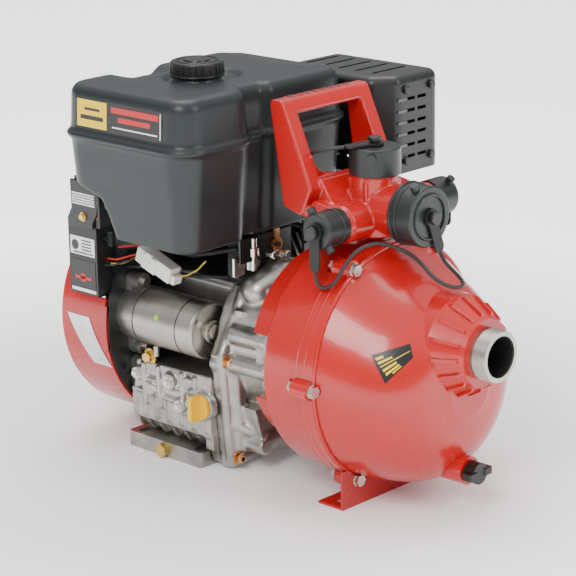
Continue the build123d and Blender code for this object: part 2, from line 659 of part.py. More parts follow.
def make_starter_body():
    y1 = STARTER_FRONT_Y + 27
    body = ring_y(STARTER_R, STARTER_R - 3, y1, y1 + 75, STARTER_X, STARTER_Z)
    body += rod_z(4, 128, STARTER_Z - STARTER_R + 2, STARTER_X - 12, y1 + 58)
    return body


def make_starter_end_cap():
    y1 = STARTER_FRONT_Y + 27
    cap = rod_y(STARTER_R, STARTER_FRONT_Y, y1, STARTER_X, STARTER_Z)
    cap = fillet(cap.edges().group_by(Axis.Y)[0], 2.5)
    cap += rod_y(13, STARTER_FRONT_Y - 4, STARTER_FRONT_Y + 1, STARTER_X, STARTER_Z)
    cap += rod_y(9, STARTER_FRONT_Y - 7, STARTER_FRONT_Y, STARTER_X, STARTER_Z)
    cap -= rod_y(STARTER_R - 4, STARTER_FRONT_Y + 5, y1 + 1, STARTER_X, STARTER_Z)
    cap -= rod_y(5 + RUN, STARTER_FRONT_Y - 4, y1, STARTER_X, STARTER_Z)
    for side in (-1, 1):
        cap -= rod_y(2, STARTER_FRONT_Y - 1, y1, STARTER_X + side * 23, STARTER_Z - side * 15)
    return cap


def make_starter_gear_case():
    y0 = STARTER_FRONT_Y + 102
    case = cone_y(STARTER_R + 1, STARTER_R - 2, y0, y0 + 33, STARTER_X, STARTER_Z)
    case += rod_y(11, y0 + 10, y0 + 33, STARTER_X - 4, STARTER_Z + 42)
    case += rod_y(11, y0 + 10, y0 + 33, STARTER_X - 4, STARTER_Z - 42)
    case += block(STARTER_X - 15, STARTER_X + 7, y0 + 22, y0 + 33, STARTER_Z - 42, STARTER_Z + 42)
    case -= rod_y(STARTER_R - 4, y0 - 1, y0 + 28, STARTER_X, STARTER_Z)
    case -= rod_y(5 + RUN, y0 - 1, y0 + 34, STARTER_X, STARTER_Z)
    for side in (-1, 1):
        case -= rod_y(3.2, y0, y0 + 40, STARTER_X - 4, STARTER_Z + side * 42)
    return case


def make_starter_screws():
    y0 = STARTER_FRONT_Y
    screws = []
    for side in (-1, 1):
        x, z = STARTER_X + side * 23, STARTER_Z - side * 15
        screws.append(rod_y(2, y0, y0 + 25, x, z) + hex_head(y0, 3, 7, x, z))
        x, z = STARTER_X - 4, STARTER_Z + side * 42
        screws.append(rod_y(3.2, y0 + 112, y0 + 135, x, z) + hex_head(y0 + 112, 5, 10, x, z))
    return screws


def make_starter_armature():
    y0 = STARTER_FRONT_Y
    armature = rod_y(5, y0 - 2, y0 + 150, STARTER_X, STARTER_Z)
    armature += rod_y(26, y0 + 38, y0 + 92, STARTER_X, STARTER_Z)
    armature += rod_y(12, y0 + 10, y0 + 30, STARTER_X, STARTER_Z)
    return armature + rod_y(10, y0 + 137, y0 + 150, STARTER_X, STARTER_Z)


def make_dipstick():
    """Oil filler plug with an oval grip; it screws out towards -X."""
    plug = rod_x(9, -113, -94, DIP_Y, DIP_Z) + rod_x(2.5, -95, -60, DIP_Y, DIP_Z)
    plug += rod_x(16, -117, -112.4, DIP_Y, DIP_Z)
    grip = Pos(-124, DIP_Y, DIP_Z) * Box(16, 6, 33)
    grip = fillet(grip.edges().filter_by(Axis.Y), 6)
    return plug + grip


def make_oil_drain_plug():
    plug = rod_x(7, -BASE_X, -92, 0, 10)
    head = extrude(RegularPolygon(8, 6, major_radius=False), 8)
    return plug + Pos(-BASE_X, 0, 10) * Rot(0, -90, 0) * head


# ---- fuel tank -------------------------------------------------------------------------
TANK_PLAN = [(TANK_X0, TANK_Y0), (-98, TANK_Y0), (-84, -128), (-58, -128), (-46, -136),
             (TANK_X1, -136), (TANK_X1, TANK_Y1), (TANK_X0, TANK_Y1)]


def tank_sketch(inset):
    outline = make_face(Polyline(*TANK_PLAN, close=True))
    corners = outline.vertices().filter_by(lambda v: abs(v.X) > 88)
    outline = fillet(corners, 32)
    return offset(outline, -inset) if inset else outline


def relief(depth):
    """The stepped underside at the tank's rear left, above the starter and the control box."""
    points = [(-19 - depth, 280), (-19 - depth, 301), (2 - depth, 348 + depth),
              (56, 364 + depth), (90, 364 + depth), (90, 280)]
    return prism_x(points, -230, -56 + depth)


def tank_lower_solid(inset, floor):
    depth = TANK_SEAM_Z - TANK_BOTTOM_Z - floor
    plane = Plane((0, 0, TANK_SEAM_Z))
    body = extrude(plane * tank_sketch(inset), amount=depth, dir=(0, 0, -1), taper=4.5)
    return body - relief(floor)


def tank_upper_solid(inset, roof, corner):
    rise = TANK_TOP_Z - TANK_SEAM_Z - roof
    body = extrude(Plane((0, 0, TANK_SEAM_Z)) * tank_sketch(inset), amount=rise, taper=3)
    return fillet(body.edges().group_by(Axis.Z)[-1], corner)


def make_fuel_tank():
    """Two moulded halves welded at the lip that runs round the tank."""
    body = tank_lower_solid(0, 0) + tank_upper_solid(0, 0, 14)
    body += Pos(0, 0, TANK_SEAM_Z - 3.5) * extrude(tank_sketch(-5), 7)
    body += rod_z(27, TANK_TOP_Z - 8, TANK_TOP_Z + 3, FUEL_CAP_X, FUEL_CAP_Y)
    body -= tank_lower_solid(TANK_WALL, TANK_WALL) + tank_upper_solid(TANK_WALL, TANK_WALL, 10)
    return body - rod_z(22, TANK_TOP_Z - 20, TANK_TOP_Z + 5, FUEL_CAP_X, FUEL_CAP_Y)


def make_fuel_cap():
    z0 = TANK_TOP_Z + 3 + GAP
    cap = rod_z(FUEL_CAP_R, z0 - 2.5, z0 + 16, FUEL_CAP_X, FUEL_CAP_Y)
    cap = fillet(cap.edges().group_by(Axis.Z)[-1], 3)
    cap -= rod_z(27 + GAP, z0 - 7, z0 + 2, FUEL_CAP_X, FUEL_CAP_Y)
    rib_count = 24
    for i in range(rib_count):
        place = Pos(FUEL_CAP_X, FUEL_CAP_Y, z0 + 4) * Rot(0, 0, 360 / rib_count * i)
        cap -= place * Pos(FUEL_CAP_R + 0.6, 0, 0) * Box(3, 3.4, 16)
    return cap


def make_fuel_cap_gasket():
    z0 = TANK_TOP_Z + 3 + GAP
    return rod_z(26, z0, z0 + 2, FUEL_CAP_X, FUEL_CAP_Y) - rod_z(17, z0 - 1, z0 + 3, FUEL_CAP_X, FUEL_CAP_Y)


def make_tank_bracket():
    """A pressed frame that carries the tank on the cylinder block."""
    bracket = block(-60, 84, -112, 66, 297, 301)
    bracket -= block(-44, 42, -96, 44, 296, 302)
    for y0 in (-72, 46):
        bracket += block(-46, -42, y0, y0 + 18, 228, 299)
        bracket += block(-46, -18, y0, y0 + 18, 228, 232)
        bracket += block(44, 48, y0, y0 + 18, 228, 299)
        bracket += block(20, 48, y0, y0 + 18, 228, 232)
    return bracket


# ---- exhaust, air and fuel -------------------------------------------------------------
def guard_screw_places():
    x0, x1, y0, y1, z0, z1 = GUARD
    return [(x, z) for z in (z0 + 16, z1 - 18) for x in (x0 + 38, x1 - 19)]


def guard_form(inset):
    """The guard's rounded box; its inside, open downwards, when inset is the sheet's thickness."""
    x0, x1, y0, y1, z0, z1 = GUARD
    points = [(x0 + 26, y0), (x1, y0), (x1, y1), (x0, y1), (x0, y0 + 26)]
    outline = make_face(Polyline(*points, close=True))
    if inset:
        outline = offset(outline, -inset)
    floor_z = z0 - (1 if inset else 0)
    form = extrude(Plane((0, 0, floor_z)) * outline, amount=z1 - inset - floor_z)
    form = fillet(form.edges().filter_by(Axis.Z), 15 - inset)
    return fillet(form.edges().group_by(Axis.Z)[-1], 11 - inset)


def make_guard():
    """A sheet cover for the silencer, with slots in its front, sides and top."""
    x0, x1, y0, y1, z0, z1 = GUARD
    shell = guard_form(0) - guard_form(1.6)
    slot_rows = [z1 - 30 - 14.5 * row for row in range(6)]
    for z in slot_rows:
        for x in (x0 + 48, x0 + 69):
            shell -= block(x - 8, x + 8, y0 - 2, y0 + 3, z - 2, z + 2)
        for y in (y0 + 55, y0 + 85, y0 + 115, y0 + 145):
            shell -= block(x0 - 2, x0 + 3, y - 9, y + 9, z - 2, z + 2)
            shell -= block(x1 - 3, x1 + 2, y - 9, y + 9, z - 2, z + 2)
    for x, z in guard_screw_places():
        shell -= rod_y(2.6, y0 - 1, y0 + 4, x, z)
    for y in (y0 + 40, y0 + 68, y0 + 96, y0 + 124, y0 + 152):
        shell -= block(x0 + 22, x1 - 22, y - 2.5, y + 2.5, z1 - 3, z1 + 1)
    return shell


def make_muffler():
    """A hollow can with its inlet pipe, flange and mounting lug, and an outlet at the back."""
    x0, x1, y0, y1, z0, z1 = GUARD
    can = soft_block(x0 + 16, x1 - 12, y0 + 18, y1 - 14, z0 + 12, z1 - 12, 14)
    can -= soft_block(x0 + 18, x1 - 14, y0 + 20, y1 - 16, z0 + 14, z1 - 14, 12)
    can -= rod_y(9, y1 - 18, y1 - 12, x1 - 32, z0 + 80)
    can += rod_z(15, 306, z0 + 14, 165, -34) - rod_z(12, 304, z0 + 12, 165, -34)
    can += block(142, 190, -54, -14, 304.5, 311)
    can += block(x0 + 30, x1 - 24, y1 - 16, y1 - 2, z0 + 30, z0 + 34)
    can += block(x0 + 30, x1 - 24, y1 - 6, y1 - 2, z0 + 30, z0 + 60)
    return can


def make_small_screws():
    """The starter motor's and the guard's small hexagon screws."""
    x0, x1, y0, y1, z0, z1 = GUARD
    screws = make_starter_screws()
    for x, z in guard_screw_places():
        screws.append(hex_head(y0, 3.5, 8, x, z) + rod_y(2.5, y0, y0 + 8, x, z))
    return Compound(children=screws)


def make_air_cleaner():
    body = soft_block(104, 216, 20, 138, 340, 428, 10)
    return body - soft_block(107, 213, 23, 135, 337, 425, 7)


def make_carburettor():
    body = rod_y(15, 26, 62, 150, 322) + block(136, 164, 34, 56, 305, 316)
    body += rod_z(18, 330, 344, 150, 44)
    return body


# ---- controls and wiring ---------------------------------------------------------------
BOX = (-150.0, -119.0, 69.0, 121.0, 203.0, 291.0)
KEY_Y, KEY_Z = 82.0, 276.0


def make_control_box():
    x0, x1, y0, y1, z0, z1 = BOX
    body = block(x0, x1, y0, y1, z0, z1)
    body = fillet(body.edges().filter_by(Axis.X), 4)
    body -= rod_y(3 + RUN, y0 - 1, y0 + 16, -135, KEY_Z)
    return body


def make_control_bracket():
    x0, x1, y0, y1, z0, z1 = BOX
    plate = block(x0 + 2, x0 + 5, 74, 108, z1, 352)
    plate += block(x0 + 2, x0 + 26, 74, 108, 349, 352)
    return plate - rod_x(3.2, x0, x0 + 10, 86, 303)


def make_key_switch():
    key = rod_y(3, 62, 80, -135, KEY_Z)
    return key + block(-137, -133, 56, 63, KEY_Z - 9, KEY_Z + 9)


def make_wiring_plug():
    plug = Pos(-112, 14, 256) * Rot(0, 0, 6) * Box(15, 36, 15)
    plug = fillet(plug.edges(), 1.5)
    return plug


LEVER_X, LEVER_Y, LEVER_Z = -18.0, -112.0, 276.0


def make_throttle_lever():
    lever = rod_y(9, LEVER_Y, LEVER_Y + 3, LEVER_X, LEVER_Z)
    lever += block(LEVER_X - 4, LEVER_X + 4, LEVER_Y, LEVER_Y + 3, LEVER_Z, LEVER_Z + 20)
    return lever - rod_y(3 + RUN, LEVER_Y - 1, LEVER_Y + 4, LEVER_X, LEVER_Z)


def make_governor_plate():
    plate = block(-78, 10, LEVER_Y + 4, LEVER_Y + 7, 262, 292)
    plate += block(-70, -50, LEVER_Y + 4, LEVER_Y + 20, 289, 292)
    plate += rod_y(3, LEVER_Y - 3, LEVER_Y + 6, LEVER_X, LEVER_Z)
    plate += block(-44, -40, LEVER_Y + 6, -72, 266, 290)
    return plate


# ---- cap straps ------------------------------------------------------------------------
STRAP_R = 2.2
LEFT_STRAP = [(-104.4, -254, 285.0), (-104.8, -255, 276), (-105.5, -262, 270), (-104.5, -272, 270),
              (-101, -281, 277), (-96, -286, 289), (-89, -289, 301), (-78, -292, 311),
              (-64, -297, 317), (-47, -302, 317), (-32, -309, 311), (-26, -323, 306),
              (-27, -340, 301), (-32, -357, 294), (-34, -372, 285), (-26, -383, 277),
              (-12, -387, 272), (3, -384, 270), (14, -375, 271), (20, -363, 275),
              (21.5, -351, 281), (19, -342, 289), (16.5, -339.5, 298.7)]
REAR_STRAP = [(-37.9, -240.1, 418.4), (-47, -232, 417.5), (-53, -217, 414), (-52, -199, 407),
              (-48, -182, 399), (-40, -168, 388), (-27, -159, 373), (-8, -155, 355),
              (15, -156, 340), (39, -163, 328), (63, -176, 318), (86, -193, 309), (106, -212, 302),
              (121, -230, 299), (129.4, -245.6, 299.5)]


def strap_radii(points):
    """The largest arc that each corner's two runs leave room for."""
    radii = []
    for before, corner, after in zip(points, points[1:], points[2:]):
        arriving = Vector(*corner) - Vector(*before)
        leaving = Vector(*after) - Vector(*corner)
        half_turn = radians(arriving.get_angle(leaving)) / 2
        shorter = min(arriving.length, leaving.length)
        radii.append(0.45 * shorter / tan(half_turn))
    return radii


def make_strap(name, points):
    radii = strap_radii(points)
    path = FilletPolyline(*points, radius=radii)
    start = Plane(origin=path @ 0, z_dir=path % 0)
    strap = sweep(start * Circle(STRAP_R), path)
    section = pi * STRAP_R ** 2
    print(name, "length", round(path.length, 1), "volume ratio",
          round(strap.volume / (section * path.length), 4), "radii", [round(r, 1) for r in radii])
    return strap


LEADS = [
    [(-133, 68.6, 250), (-133, 56, 250), (-129, 44, 254), (-120, 37, 257), (-114, 33.4, 257)],
    [(-127, 68.6, 242), (-127, 57, 243), (-123, 45, 248), (-116, 38, 252), (-110, 33.4, 253)],
    [(-139, 68.6, 243), (-139, 55, 244), (-134, 43, 249), (-123, 36, 252), (-115, 33.4, 252.5)],
]
LEAD_R = 1.2


def make_leads():
    """Three thin leads from the control box to the loom's plug."""
    leads = []
    for points in LEADS:
        path = FilletPolyline(*points, radius=strap_radii(points))
        leads.append(sweep(Plane(origin=path @ 0, z_dir=path % 0) * Circle(LEAD_R), path))
    return Compound(children=leads)


# ---- all pieces ------------------------------------------------------------------------
save("front_casing", make_front_casing())
save("rear_casing", make_rear_casing())
save("casing_bolts", make_casing_bolts())
save("pump_foot", make_pump_foot())
nipple = ring_y(INLET_R, INLET_BORE_R, INLET_END_Y, -420, z=INLET_Z)
save("suction_nipple", nipple + ring_y(INLET_R - 2, INLET_BORE_R, -421, -404, z=INLET_Z))
save("drain_plug", make_drain_plug())
save("drain_plug_seal", ring_y(12, DRAIN_R + 0.1, -400, -398, z=DRAIN_Z))
save("check_valve_flap", make_flap())
save("first_impeller", make_impeller(FIRST_Y))
save("second_impeller", make_impeller(SECOND_Y))
save("interstage_diffuser", make_interstage_diffuser())
save("discharge_diffuser", make_discharge_diffuser())
save("shaft_seal", ring_y(23.9, SHAFT_R + RUN, -217.7, -203))
save("outlet_manifold", make_manifold())
make_caps()
save("left_cap_strap", make_strap("left_cap_strap", LEFT_STRAP))
save("rear_cap_strap", make_strap("rear_cap_strap", REAR_STRAP))
save("cylinder_block", make_block())
save("side_cover", make_side_cover())
save("cover_bolts", make_cover_bolts())
save("crankshaft", make_crankshaft())
save("connecting_rod", make_conrod())
save("piston", make_piston())
save("cylinder_head", make_head())
save("valve_cover", make_valve_cover())
save("spark_plug", make_spark_plug())
save("camshaft", rod_y(8, -120, 60, CAM_X, CAM_Z) + rod_y(CAM_GEAR_R, -62, -50, CAM_X, CAM_Z))
save("flywheel", make_flywheel())
save("blower_housing", make_blower_housing())
save("recoil_pulley", make_recoil_pulley())
save("recoil_grip", make_recoil_grip())
save("starter_body", make_starter_body())
save("starter_end_cap", make_starter_end_cap())
save("starter_gear_case", make_starter_gear_case())
save("small_screws", make_small_screws())
save("starter_armature", make_starter_armature())
save("oil_dipstick", make_dipstick())
save("oil_drain_plug", make_oil_drain_plug())
save("fuel_tank", make_fuel_tank())
save("fuel_cap", make_fuel_cap())
save("fuel_cap_gasket", make_fuel_cap_gasket())
save("tank_bracket", make_tank_bracket())
save("muffler", make_muffler())
save("muffler_guard", make_guard())
save("air_cleaner", make_air_cleaner())
save("carburettor", make_carburettor())
save("control_box", make_control_box())
save("control_bracket", make_control_bracket())
save("key_switch", make_key_switch())
save("wiring_plug", make_wiring_plug())
save("wiring_leads", make_leads())
save("governor_plate", make_governor_plate())
save("throttle_lever", make_throttle_lever())

os.makedirs("parts", exist_ok=True)
for name, shape in parts.items():
    export_step(shape, f"parts/{name}.step")
print(len(parts), "nodes")
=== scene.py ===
import json
import math

import bmesh
import bpy
from mathutils import Matrix, Vector
from mathutils.bvhtree import BVHTree


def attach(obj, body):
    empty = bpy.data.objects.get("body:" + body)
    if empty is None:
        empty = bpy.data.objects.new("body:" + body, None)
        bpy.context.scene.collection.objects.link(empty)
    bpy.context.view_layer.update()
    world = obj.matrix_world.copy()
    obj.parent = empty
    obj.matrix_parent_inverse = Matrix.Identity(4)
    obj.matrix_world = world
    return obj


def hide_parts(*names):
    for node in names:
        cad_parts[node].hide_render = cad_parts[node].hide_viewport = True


# +Z is up, the suction inlet faces -Y, the starter is on -X and the silencer on +X. The origin is
# on the ground at the centre of the engine's base slots. The camera, lights and floor are in
# metres; everything after the materials is in millimetres, which point() turns into metres.
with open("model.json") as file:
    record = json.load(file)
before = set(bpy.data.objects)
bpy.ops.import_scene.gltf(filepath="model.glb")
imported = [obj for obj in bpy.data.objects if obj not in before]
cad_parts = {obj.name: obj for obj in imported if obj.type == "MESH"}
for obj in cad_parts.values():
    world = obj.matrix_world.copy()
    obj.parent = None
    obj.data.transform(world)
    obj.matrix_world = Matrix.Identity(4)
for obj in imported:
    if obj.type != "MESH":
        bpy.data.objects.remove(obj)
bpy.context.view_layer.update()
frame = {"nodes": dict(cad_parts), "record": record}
NODES = frame["nodes"]

MM = 0.001
SHAFT_Z = 160                # height of the crankshaft and the impellers
INLET_Z = 198                # height of the suction nipple
STARTER_AXIS = (-94, 175)    # x and z of the starter motor, which lies along Y
FUEL_CAP = (-77, -41)        # x and y of the filler neck
MAIN_CAP_Z = 344             # height of the main outlet cap, which faces -Y
LEFT_CAP = (-254, 333)       # y and z of the left outlet cap, which faces -X

# ---- camera, light and floor -----------------------------------------------------------
CAMERA_PLACE = Vector((-1.873, -1.901, 0.984))
CAMERA_AZIMUTH = math.radians(46.30)
CAMERA_DROP = math.radians(16.51)
CAMERA_ROLL = math.radians(-0.95)
LENS_MM = 137.7


def make_camera():
    ahead = Vector((math.sin(CAMERA_AZIMUTH) * math.cos(CAMERA_DROP),
                    math.cos(CAMERA_AZIMUTH) * math.cos(CAMERA_DROP), -math.sin(CAMERA_DROP)))
    right = Vector((math.cos(CAMERA_AZIMUTH), -math.sin(CAMERA_AZIMUTH), 0))
    up = right.cross(ahead)
    cosine, sine = math.cos(CAMERA_ROLL), math.sin(CAMERA_ROLL)
    rolled_right = cosine * right + sine * up
    rolled_up = -sine * right + cosine * up
    data = bpy.data.cameras.new("camera")
    data.lens = LENS_MM
    data.sensor_width = 36
    camera = bpy.data.objects.new("camera", data)
    turn = Matrix((rolled_right, rolled_up, -ahead)).transposed()
    camera.matrix_world = Matrix.Translation(CAMERA_PLACE) @ turn.to_4x4()
    bpy.context.scene.collection.objects.link(camera)
    bpy.context.scene.camera = camera


def area_light(name, place, target, size, energy):
    data = bpy.data.lights.new(name, "AREA")
    data.shape = "RECTANGLE"
    data.size, data.size_y = size
    data.energy = energy
    light = bpy.data.objects.new(name, data)
    aim = Vector(target) - Vector(place)
    light.rotation_euler = aim.to_track_quat("-Z", "Y").to_euler()
    light.location = place
    bpy.context.scene.collection.objects.link(light)


def fill_ramp(ramp, stops):
    """Sets a ramp's stops: each is a position and a colour."""
    bar = ramp.color_ramp
    for element, (position, colour) in zip(bar.elements, (stops[0], stops[-1])):
        element.position = position
        element.color = (*colour, 1)
    for position, colour in stops[1:-1]:
        bar.elements.new(position).color = (*colour, 1)


def make_floor():
    """A white floor that glows more with distance from the object: a painted light that keeps it pale, and
    a painted soft shadow round the object where it glows least.
    """
    mesh = bpy.data.meshes.new("floor")
    half = 6.0
    corners = [(-half, -half, 0), (half, -half, 0), (half, half, 0), (-half, half, 0)]
    mesh.from_pydata(corners, [], [(0, 1, 2, 3)])
    floor = bpy.data.objects.new("floor", mesh)
    bpy.context.scene.collection.objects.link(floor)
    mat = bpy.data.materials.new("floor_white")
    mat.use_nodes = True
    nodes, links = mat.node_tree.nodes, mat.node_tree.links
    shader = nodes["Principled BSDF"]
    shader.inputs["Base Color"].default_value = (0.95, 0.95, 0.95, 1)
    shader.inputs["Roughness"].default_value = 0.8
    shader.inputs["Emission Strength"].default_value = 1.3
    coords = nodes.new("ShaderNodeTexCoord")
    reach = nodes.new("ShaderNodeVectorMath")
    reach.operation = "LENGTH"
    # The glow is almost none within 0.42 m of the origin and full at 1 m: a painted shadow round the
    # object.
    painted_floor_glow = nodes.new("ShaderNodeValToRGB")
    fill_ramp(painted_floor_glow, [(0.42, (0.06, 0.06, 0.06)), (1.0, (1, 1, 1))])
    links.new(coords.outputs["Object"], reach.inputs[0])
    links.new(reach.outputs["Value"], painted_floor_glow.inputs["Fac"])
    links.new(painted_floor_glow.outputs["Color"], shader.inputs["Emission Color"])
    mesh.materials.append(mat)


def make_studio():
    """A sky that is brightest overhead and darkest a little above the horizon, and four lights."""
    world = bpy.data.worlds.new("studio")
    bpy.context.scene.world = world
    world.use_nodes = True
    nodes, links = world.node_tree.nodes, world.node_tree.links
    coords = nodes.new("ShaderNodeTexCoord")
    split = nodes.new("ShaderNodeSeparateXYZ")
    shade = nodes.new("ShaderNodeValToRGB")
    fill_ramp(shade, [(0.0, (0.34, 0.34, 0.34)), (0.22, (0.24, 0.24, 0.245)),
                      (0.5, (0.62, 0.62, 0.62)), (0.85, (1, 1, 1))])
    links.new(coords.outputs["Generated"], split.inputs["Vector"])
    links.new(split.outputs["Z"], shade.inputs["Fac"])
    links.new(shade.outputs["Color"], nodes["Background"].inputs["Color"])
    nodes["Background"].inputs["Strength"].default_value = 1.5
    area_light("key", (-1.8, -0.9, 1.7), (0, -0.1, 0.25), (0.7, 1.0), 30)
    area_light("front", (0.5, -2.4, 1.5), (0, -0.2, 0.2), (0.6, 1.2), 20)
    area_light("fill", (-2.6, 0.9, 1.1), (0, 0, 0.25), (1.0, 0.8), 3.5)
    area_light("top", (0.3, 0.3, 2.4), (0, 0, 0.2), (1.6, 1.6), 34)


make_camera()
make_floor()
make_studio()


# ---- materials -------------------------------------------------------------------------
class Shade:
    """A Principled material whose nodes are added one call at a time."""

    def __init__(self, name, colour, roughness=0.5, metallic=0.0, coat=0.0, specular=0.5):
        self.mat = bpy.data.materials.new(name)
        self.mat.use_nodes = True
        self.tree = self.mat.node_tree
        self.shader = self.tree.nodes["Principled BSDF"]
        self.set("Base Color", (*colour, 1))
        self.set("Roughness", roughness)
        self.set("Metallic", metallic)
        self.set("Specular IOR Level", specular)
        if coat:
            self.set("Coat Weight", coat)
            self.set("Coat Roughness", 0.06)
        self.colour = colour
        self.height = None

    def set(self, socket, value):
        self.shader.inputs[socket].default_value = value

    def node(self, kind, **values):
        made = self.tree.nodes.new(kind)
        for key, value in values.items():
            if key in made.inputs:
                made.inputs[key].default_value = value
            else:
                setattr(made, key, value)
        return made

    def link(self, source, target):
        self.tree.links.new(source, target)

    def place(self, stretch=(1, 1, 1)):
        coords = self.node("ShaderNodeTexCoord")
        scale = self.node("ShaderNodeMapping", Scale=stretch)
        self.link(coords.outputs["Object"], scale.inputs["Vector"])
        return scale.outputs["Vector"]

    def noise(self, scale, detail=4.0, stretch=(1, 1, 1)):
        made = self.node("ShaderNodeTexNoise", Scale=scale, Detail=detail)
        self.link(self.place(stretch), made.inputs["Vector"])
        return made.outputs["Fac"]

    def ramp(self, source, stops):
        made = self.node("ShaderNodeValToRGB")
        fill_ramp(made, stops)
        self.link(source, made.inputs["Fac"])
        return made.outputs["Color"]

    def tint(self, source, dark, light, low=0.3, high=0.7):
        """Colour that varies between two shares of the base colour."""
        stops = [(low, [c * dark for c in self.colour]), (high, [min(1, c * light) for c in self.colour])]
        self.link(self.ramp(source, stops), self.shader.inputs["Base Color"])
        return self

    def rough(self, source, low, high):
        span = self.node("ShaderNodeMapRange")
        span.inputs["To Min"].default_value = low
        span.inputs["To Max"].default_value = high
        self.link(source, span.inputs["Value"])
        self.link(span.outputs["Result"], self.shader.inputs["Roughness"])
        return self

    def bump(self, source, strength, distance):
        made = self.node("ShaderNodeBump", Strength=strength, Distance=distance)
        self.link(source, made.inputs["Height"])
        if self.height is not None:
            self.link(self.height, made.inputs["Normal"])
        self.height = made.outputs["Normal"]
        self.link(self.height, self.shader.inputs["Normal"])
        return self


def red_enamel():
    shade = Shade("red_enamel", (0.46, 0.009, 0.008), 0.24, coat=0.35, specular=0.4)
    shade.tint(shade.noise(9, 3), 0.90, 1.08)
    shade.rough(shade.noise(60, 4), 0.20, 0.32)
    shade.bump(shade.noise(420, 2), 0.05, 0.0003)
    return shade.bump(shade.noise(55, 3), 0.12, 0.0012).mat


def cast_metal(name, colour, roughness):
    shade = Shade(name, colour, roughness, metallic=0.95)
    shade.tint(shade.noise(30, 6), 0.62, 1.12)
    shade.rough(shade.noise(90, 4), roughness - 0.10, roughness + 0.14)
    shade.bump(shade.noise(900, 3), 0.22, 0.0003)
    return shade.bump(shade.noise(48, 4), 0.18, 0.0014).mat


def turned_metal(name, colour, roughness):
    shade = Shade(name, colour, roughness, metallic=1.0)
    shade.tint(shade.noise(30, 4), 0.84, 1.08)
    shade.rough(shade.noise(120, 3), roughness - 0.06, roughness + 0.10)
    return shade.bump(shade.noise(700, 2, (1, 0.1, 1)), 0.05, 0.0001).mat


def moulded(name, colour, roughness, grain=1400, depth=0.00025):
    shade = Shade(name, colour, roughness, specular=0.45)
    shade.tint(shade.noise(12, 3), 0.88, 1.12)
    shade.rough(shade.noise(180, 3), roughness - 0.06, roughness + 0.10)
    return shade.bump(shade.noise(grain, 2), 0.25, depth).mat


def rubber(name, colour):
    shade = Shade(name, colour, 0.52, specular=0.35)
    shade.tint(shade.noise(40, 3), 0.8, 1.2)
    return shade.bump(shade.noise(900, 3), 0.2, 0.0003).mat


def black_coat():
    shade = Shade("black_coat", (0.008, 0.010, 0.010), 0.34, specular=0.5)
    shade.tint(shade.noise(25, 4), 0.85, 1.2)
    shade.rough(shade.noise(110, 3), 0.28, 0.44)
    return shade.bump(shade.noise(1100, 2), 0.22, 0.0003).mat


def printed(name, colour, roughness):
    return moulded(name, colour, roughness, grain=900, depth=0.0001)


RED = red_enamel()
MATERIALS = {
    "red_paint": RED,
    "red_casting": RED,
    "cast_aluminium": cast_metal("cast_aluminium", (0.46, 0.445, 0.415), 0.34),
    "machined_aluminium": turned_metal("machined_aluminium", (0.72, 0.70, 0.65), 0.30),
    "zinc_steel": turned_metal("zinc_steel", (0.66, 0.65, 0.60), 0.22),
    "yellow_zinc": turned_metal("yellow_zinc", (0.66, 0.36, 0.16), 0.26),
    "steel": turned_metal("steel", (0.48, 0.48, 0.47), 0.28),
    "black_plastic": moulded("black_plastic", (0.006, 0.007, 0.007), 0.34),
    "grey_plastic": moulded("grey_plastic", (0.012, 0.015, 0.015), 0.36),
    "tank_plastic": moulded("tank_plastic", (0.008, 0.0125, 0.0135), 0.36),
    "yellow_plastic": moulded("yellow_plastic", (0.93, 0.52, 0.008), 0.30),
    "white_plastic": moulded("white_plastic", (0.74, 0.74, 0.68), 0.36),
    "black_rubber": rubber("black_rubber", (0.010, 0.011, 0.011)),
    "brass": turned_metal("brass", (0.72, 0.48, 0.14), 0.24),
    "bronze": cast_metal("bronze", (0.45, 0.27, 0.12), 0.38),
    "black_steel": black_coat(),
    "lead_insulation": rubber("lead_red", (0.50, 0.02, 0.015)),
    "starter_paint": turned_metal("starter_paint", (0.44, 0.42, 0.38), 0.34),
    "iron": cast_metal("iron", (0.16, 0.16, 0.16), 0.5),
}
LABELS = {
    "yellow": printed("label_yellow", (0.84, 0.56, 0.0), 0.35),
    "black": printed("label_black", (0.012, 0.012, 0.012), 0.30),
    "red": printed("label_red", (0.48, 0.015, 0.015), 0.35),
    "white": printed("label_white", (0.80, 0.80, 0.78), 0.35),
    "silver": turned_metal("label_silver", (0.72, 0.72, 0.72), 0.35),
}
# Nodes whose finish differs from the slot in their record.
OTHER_LOOKS = {"starter_end_cap": "starter_paint", "suction_nipple": "starter_paint",
               "governor_plate": "black_steel"}


def dress_frame():
    """Gives every CAD node the material of its slot."""
    for entry in frame["record"]["subparts"]:
        node = NODES[entry["node"]]
        slot = OTHER_LOOKS.get(entry["node"], entry["material_slot"])
        node.data.materials.clear()
        node.data.materials.append(MATERIALS[slot])


dress_frame()


# ---- mesh helpers ----------------------------------------------------------------------
SMOOTH_BELOW = math.radians(35)


def point(x, y, z):
    """A place given in millimetres, in metres."""
    return Vector((x * MM, y * MM, z * MM))


def on_circle(radius, turn, y, height=SHAFT_Z):
    """A place in millimetres on a circle round an axis that runs along Y at a height."""
    return (radius * math.cos(turn), y, height + radius * math.sin(turn))


def add_box(bm, x0, x1, y0, y1, z0, z1, turn=None):
    """A box between six planes in millimetres, turned about its centre when asked."""
    centre = point((x0 + x1) / 2, (y0 + y1) / 2, (z0 + z1) / 2)
    size = Matrix.Diagonal((*(point(x1 - x0, y1 - y0, z1 - z0)), 1))
    place = Matrix.Translation(centre) @ (turn.to_4x4() if turn else Matrix.Identity(4)) @ size
    bmesh.ops.create_cube(bm, size=1, matrix=place)


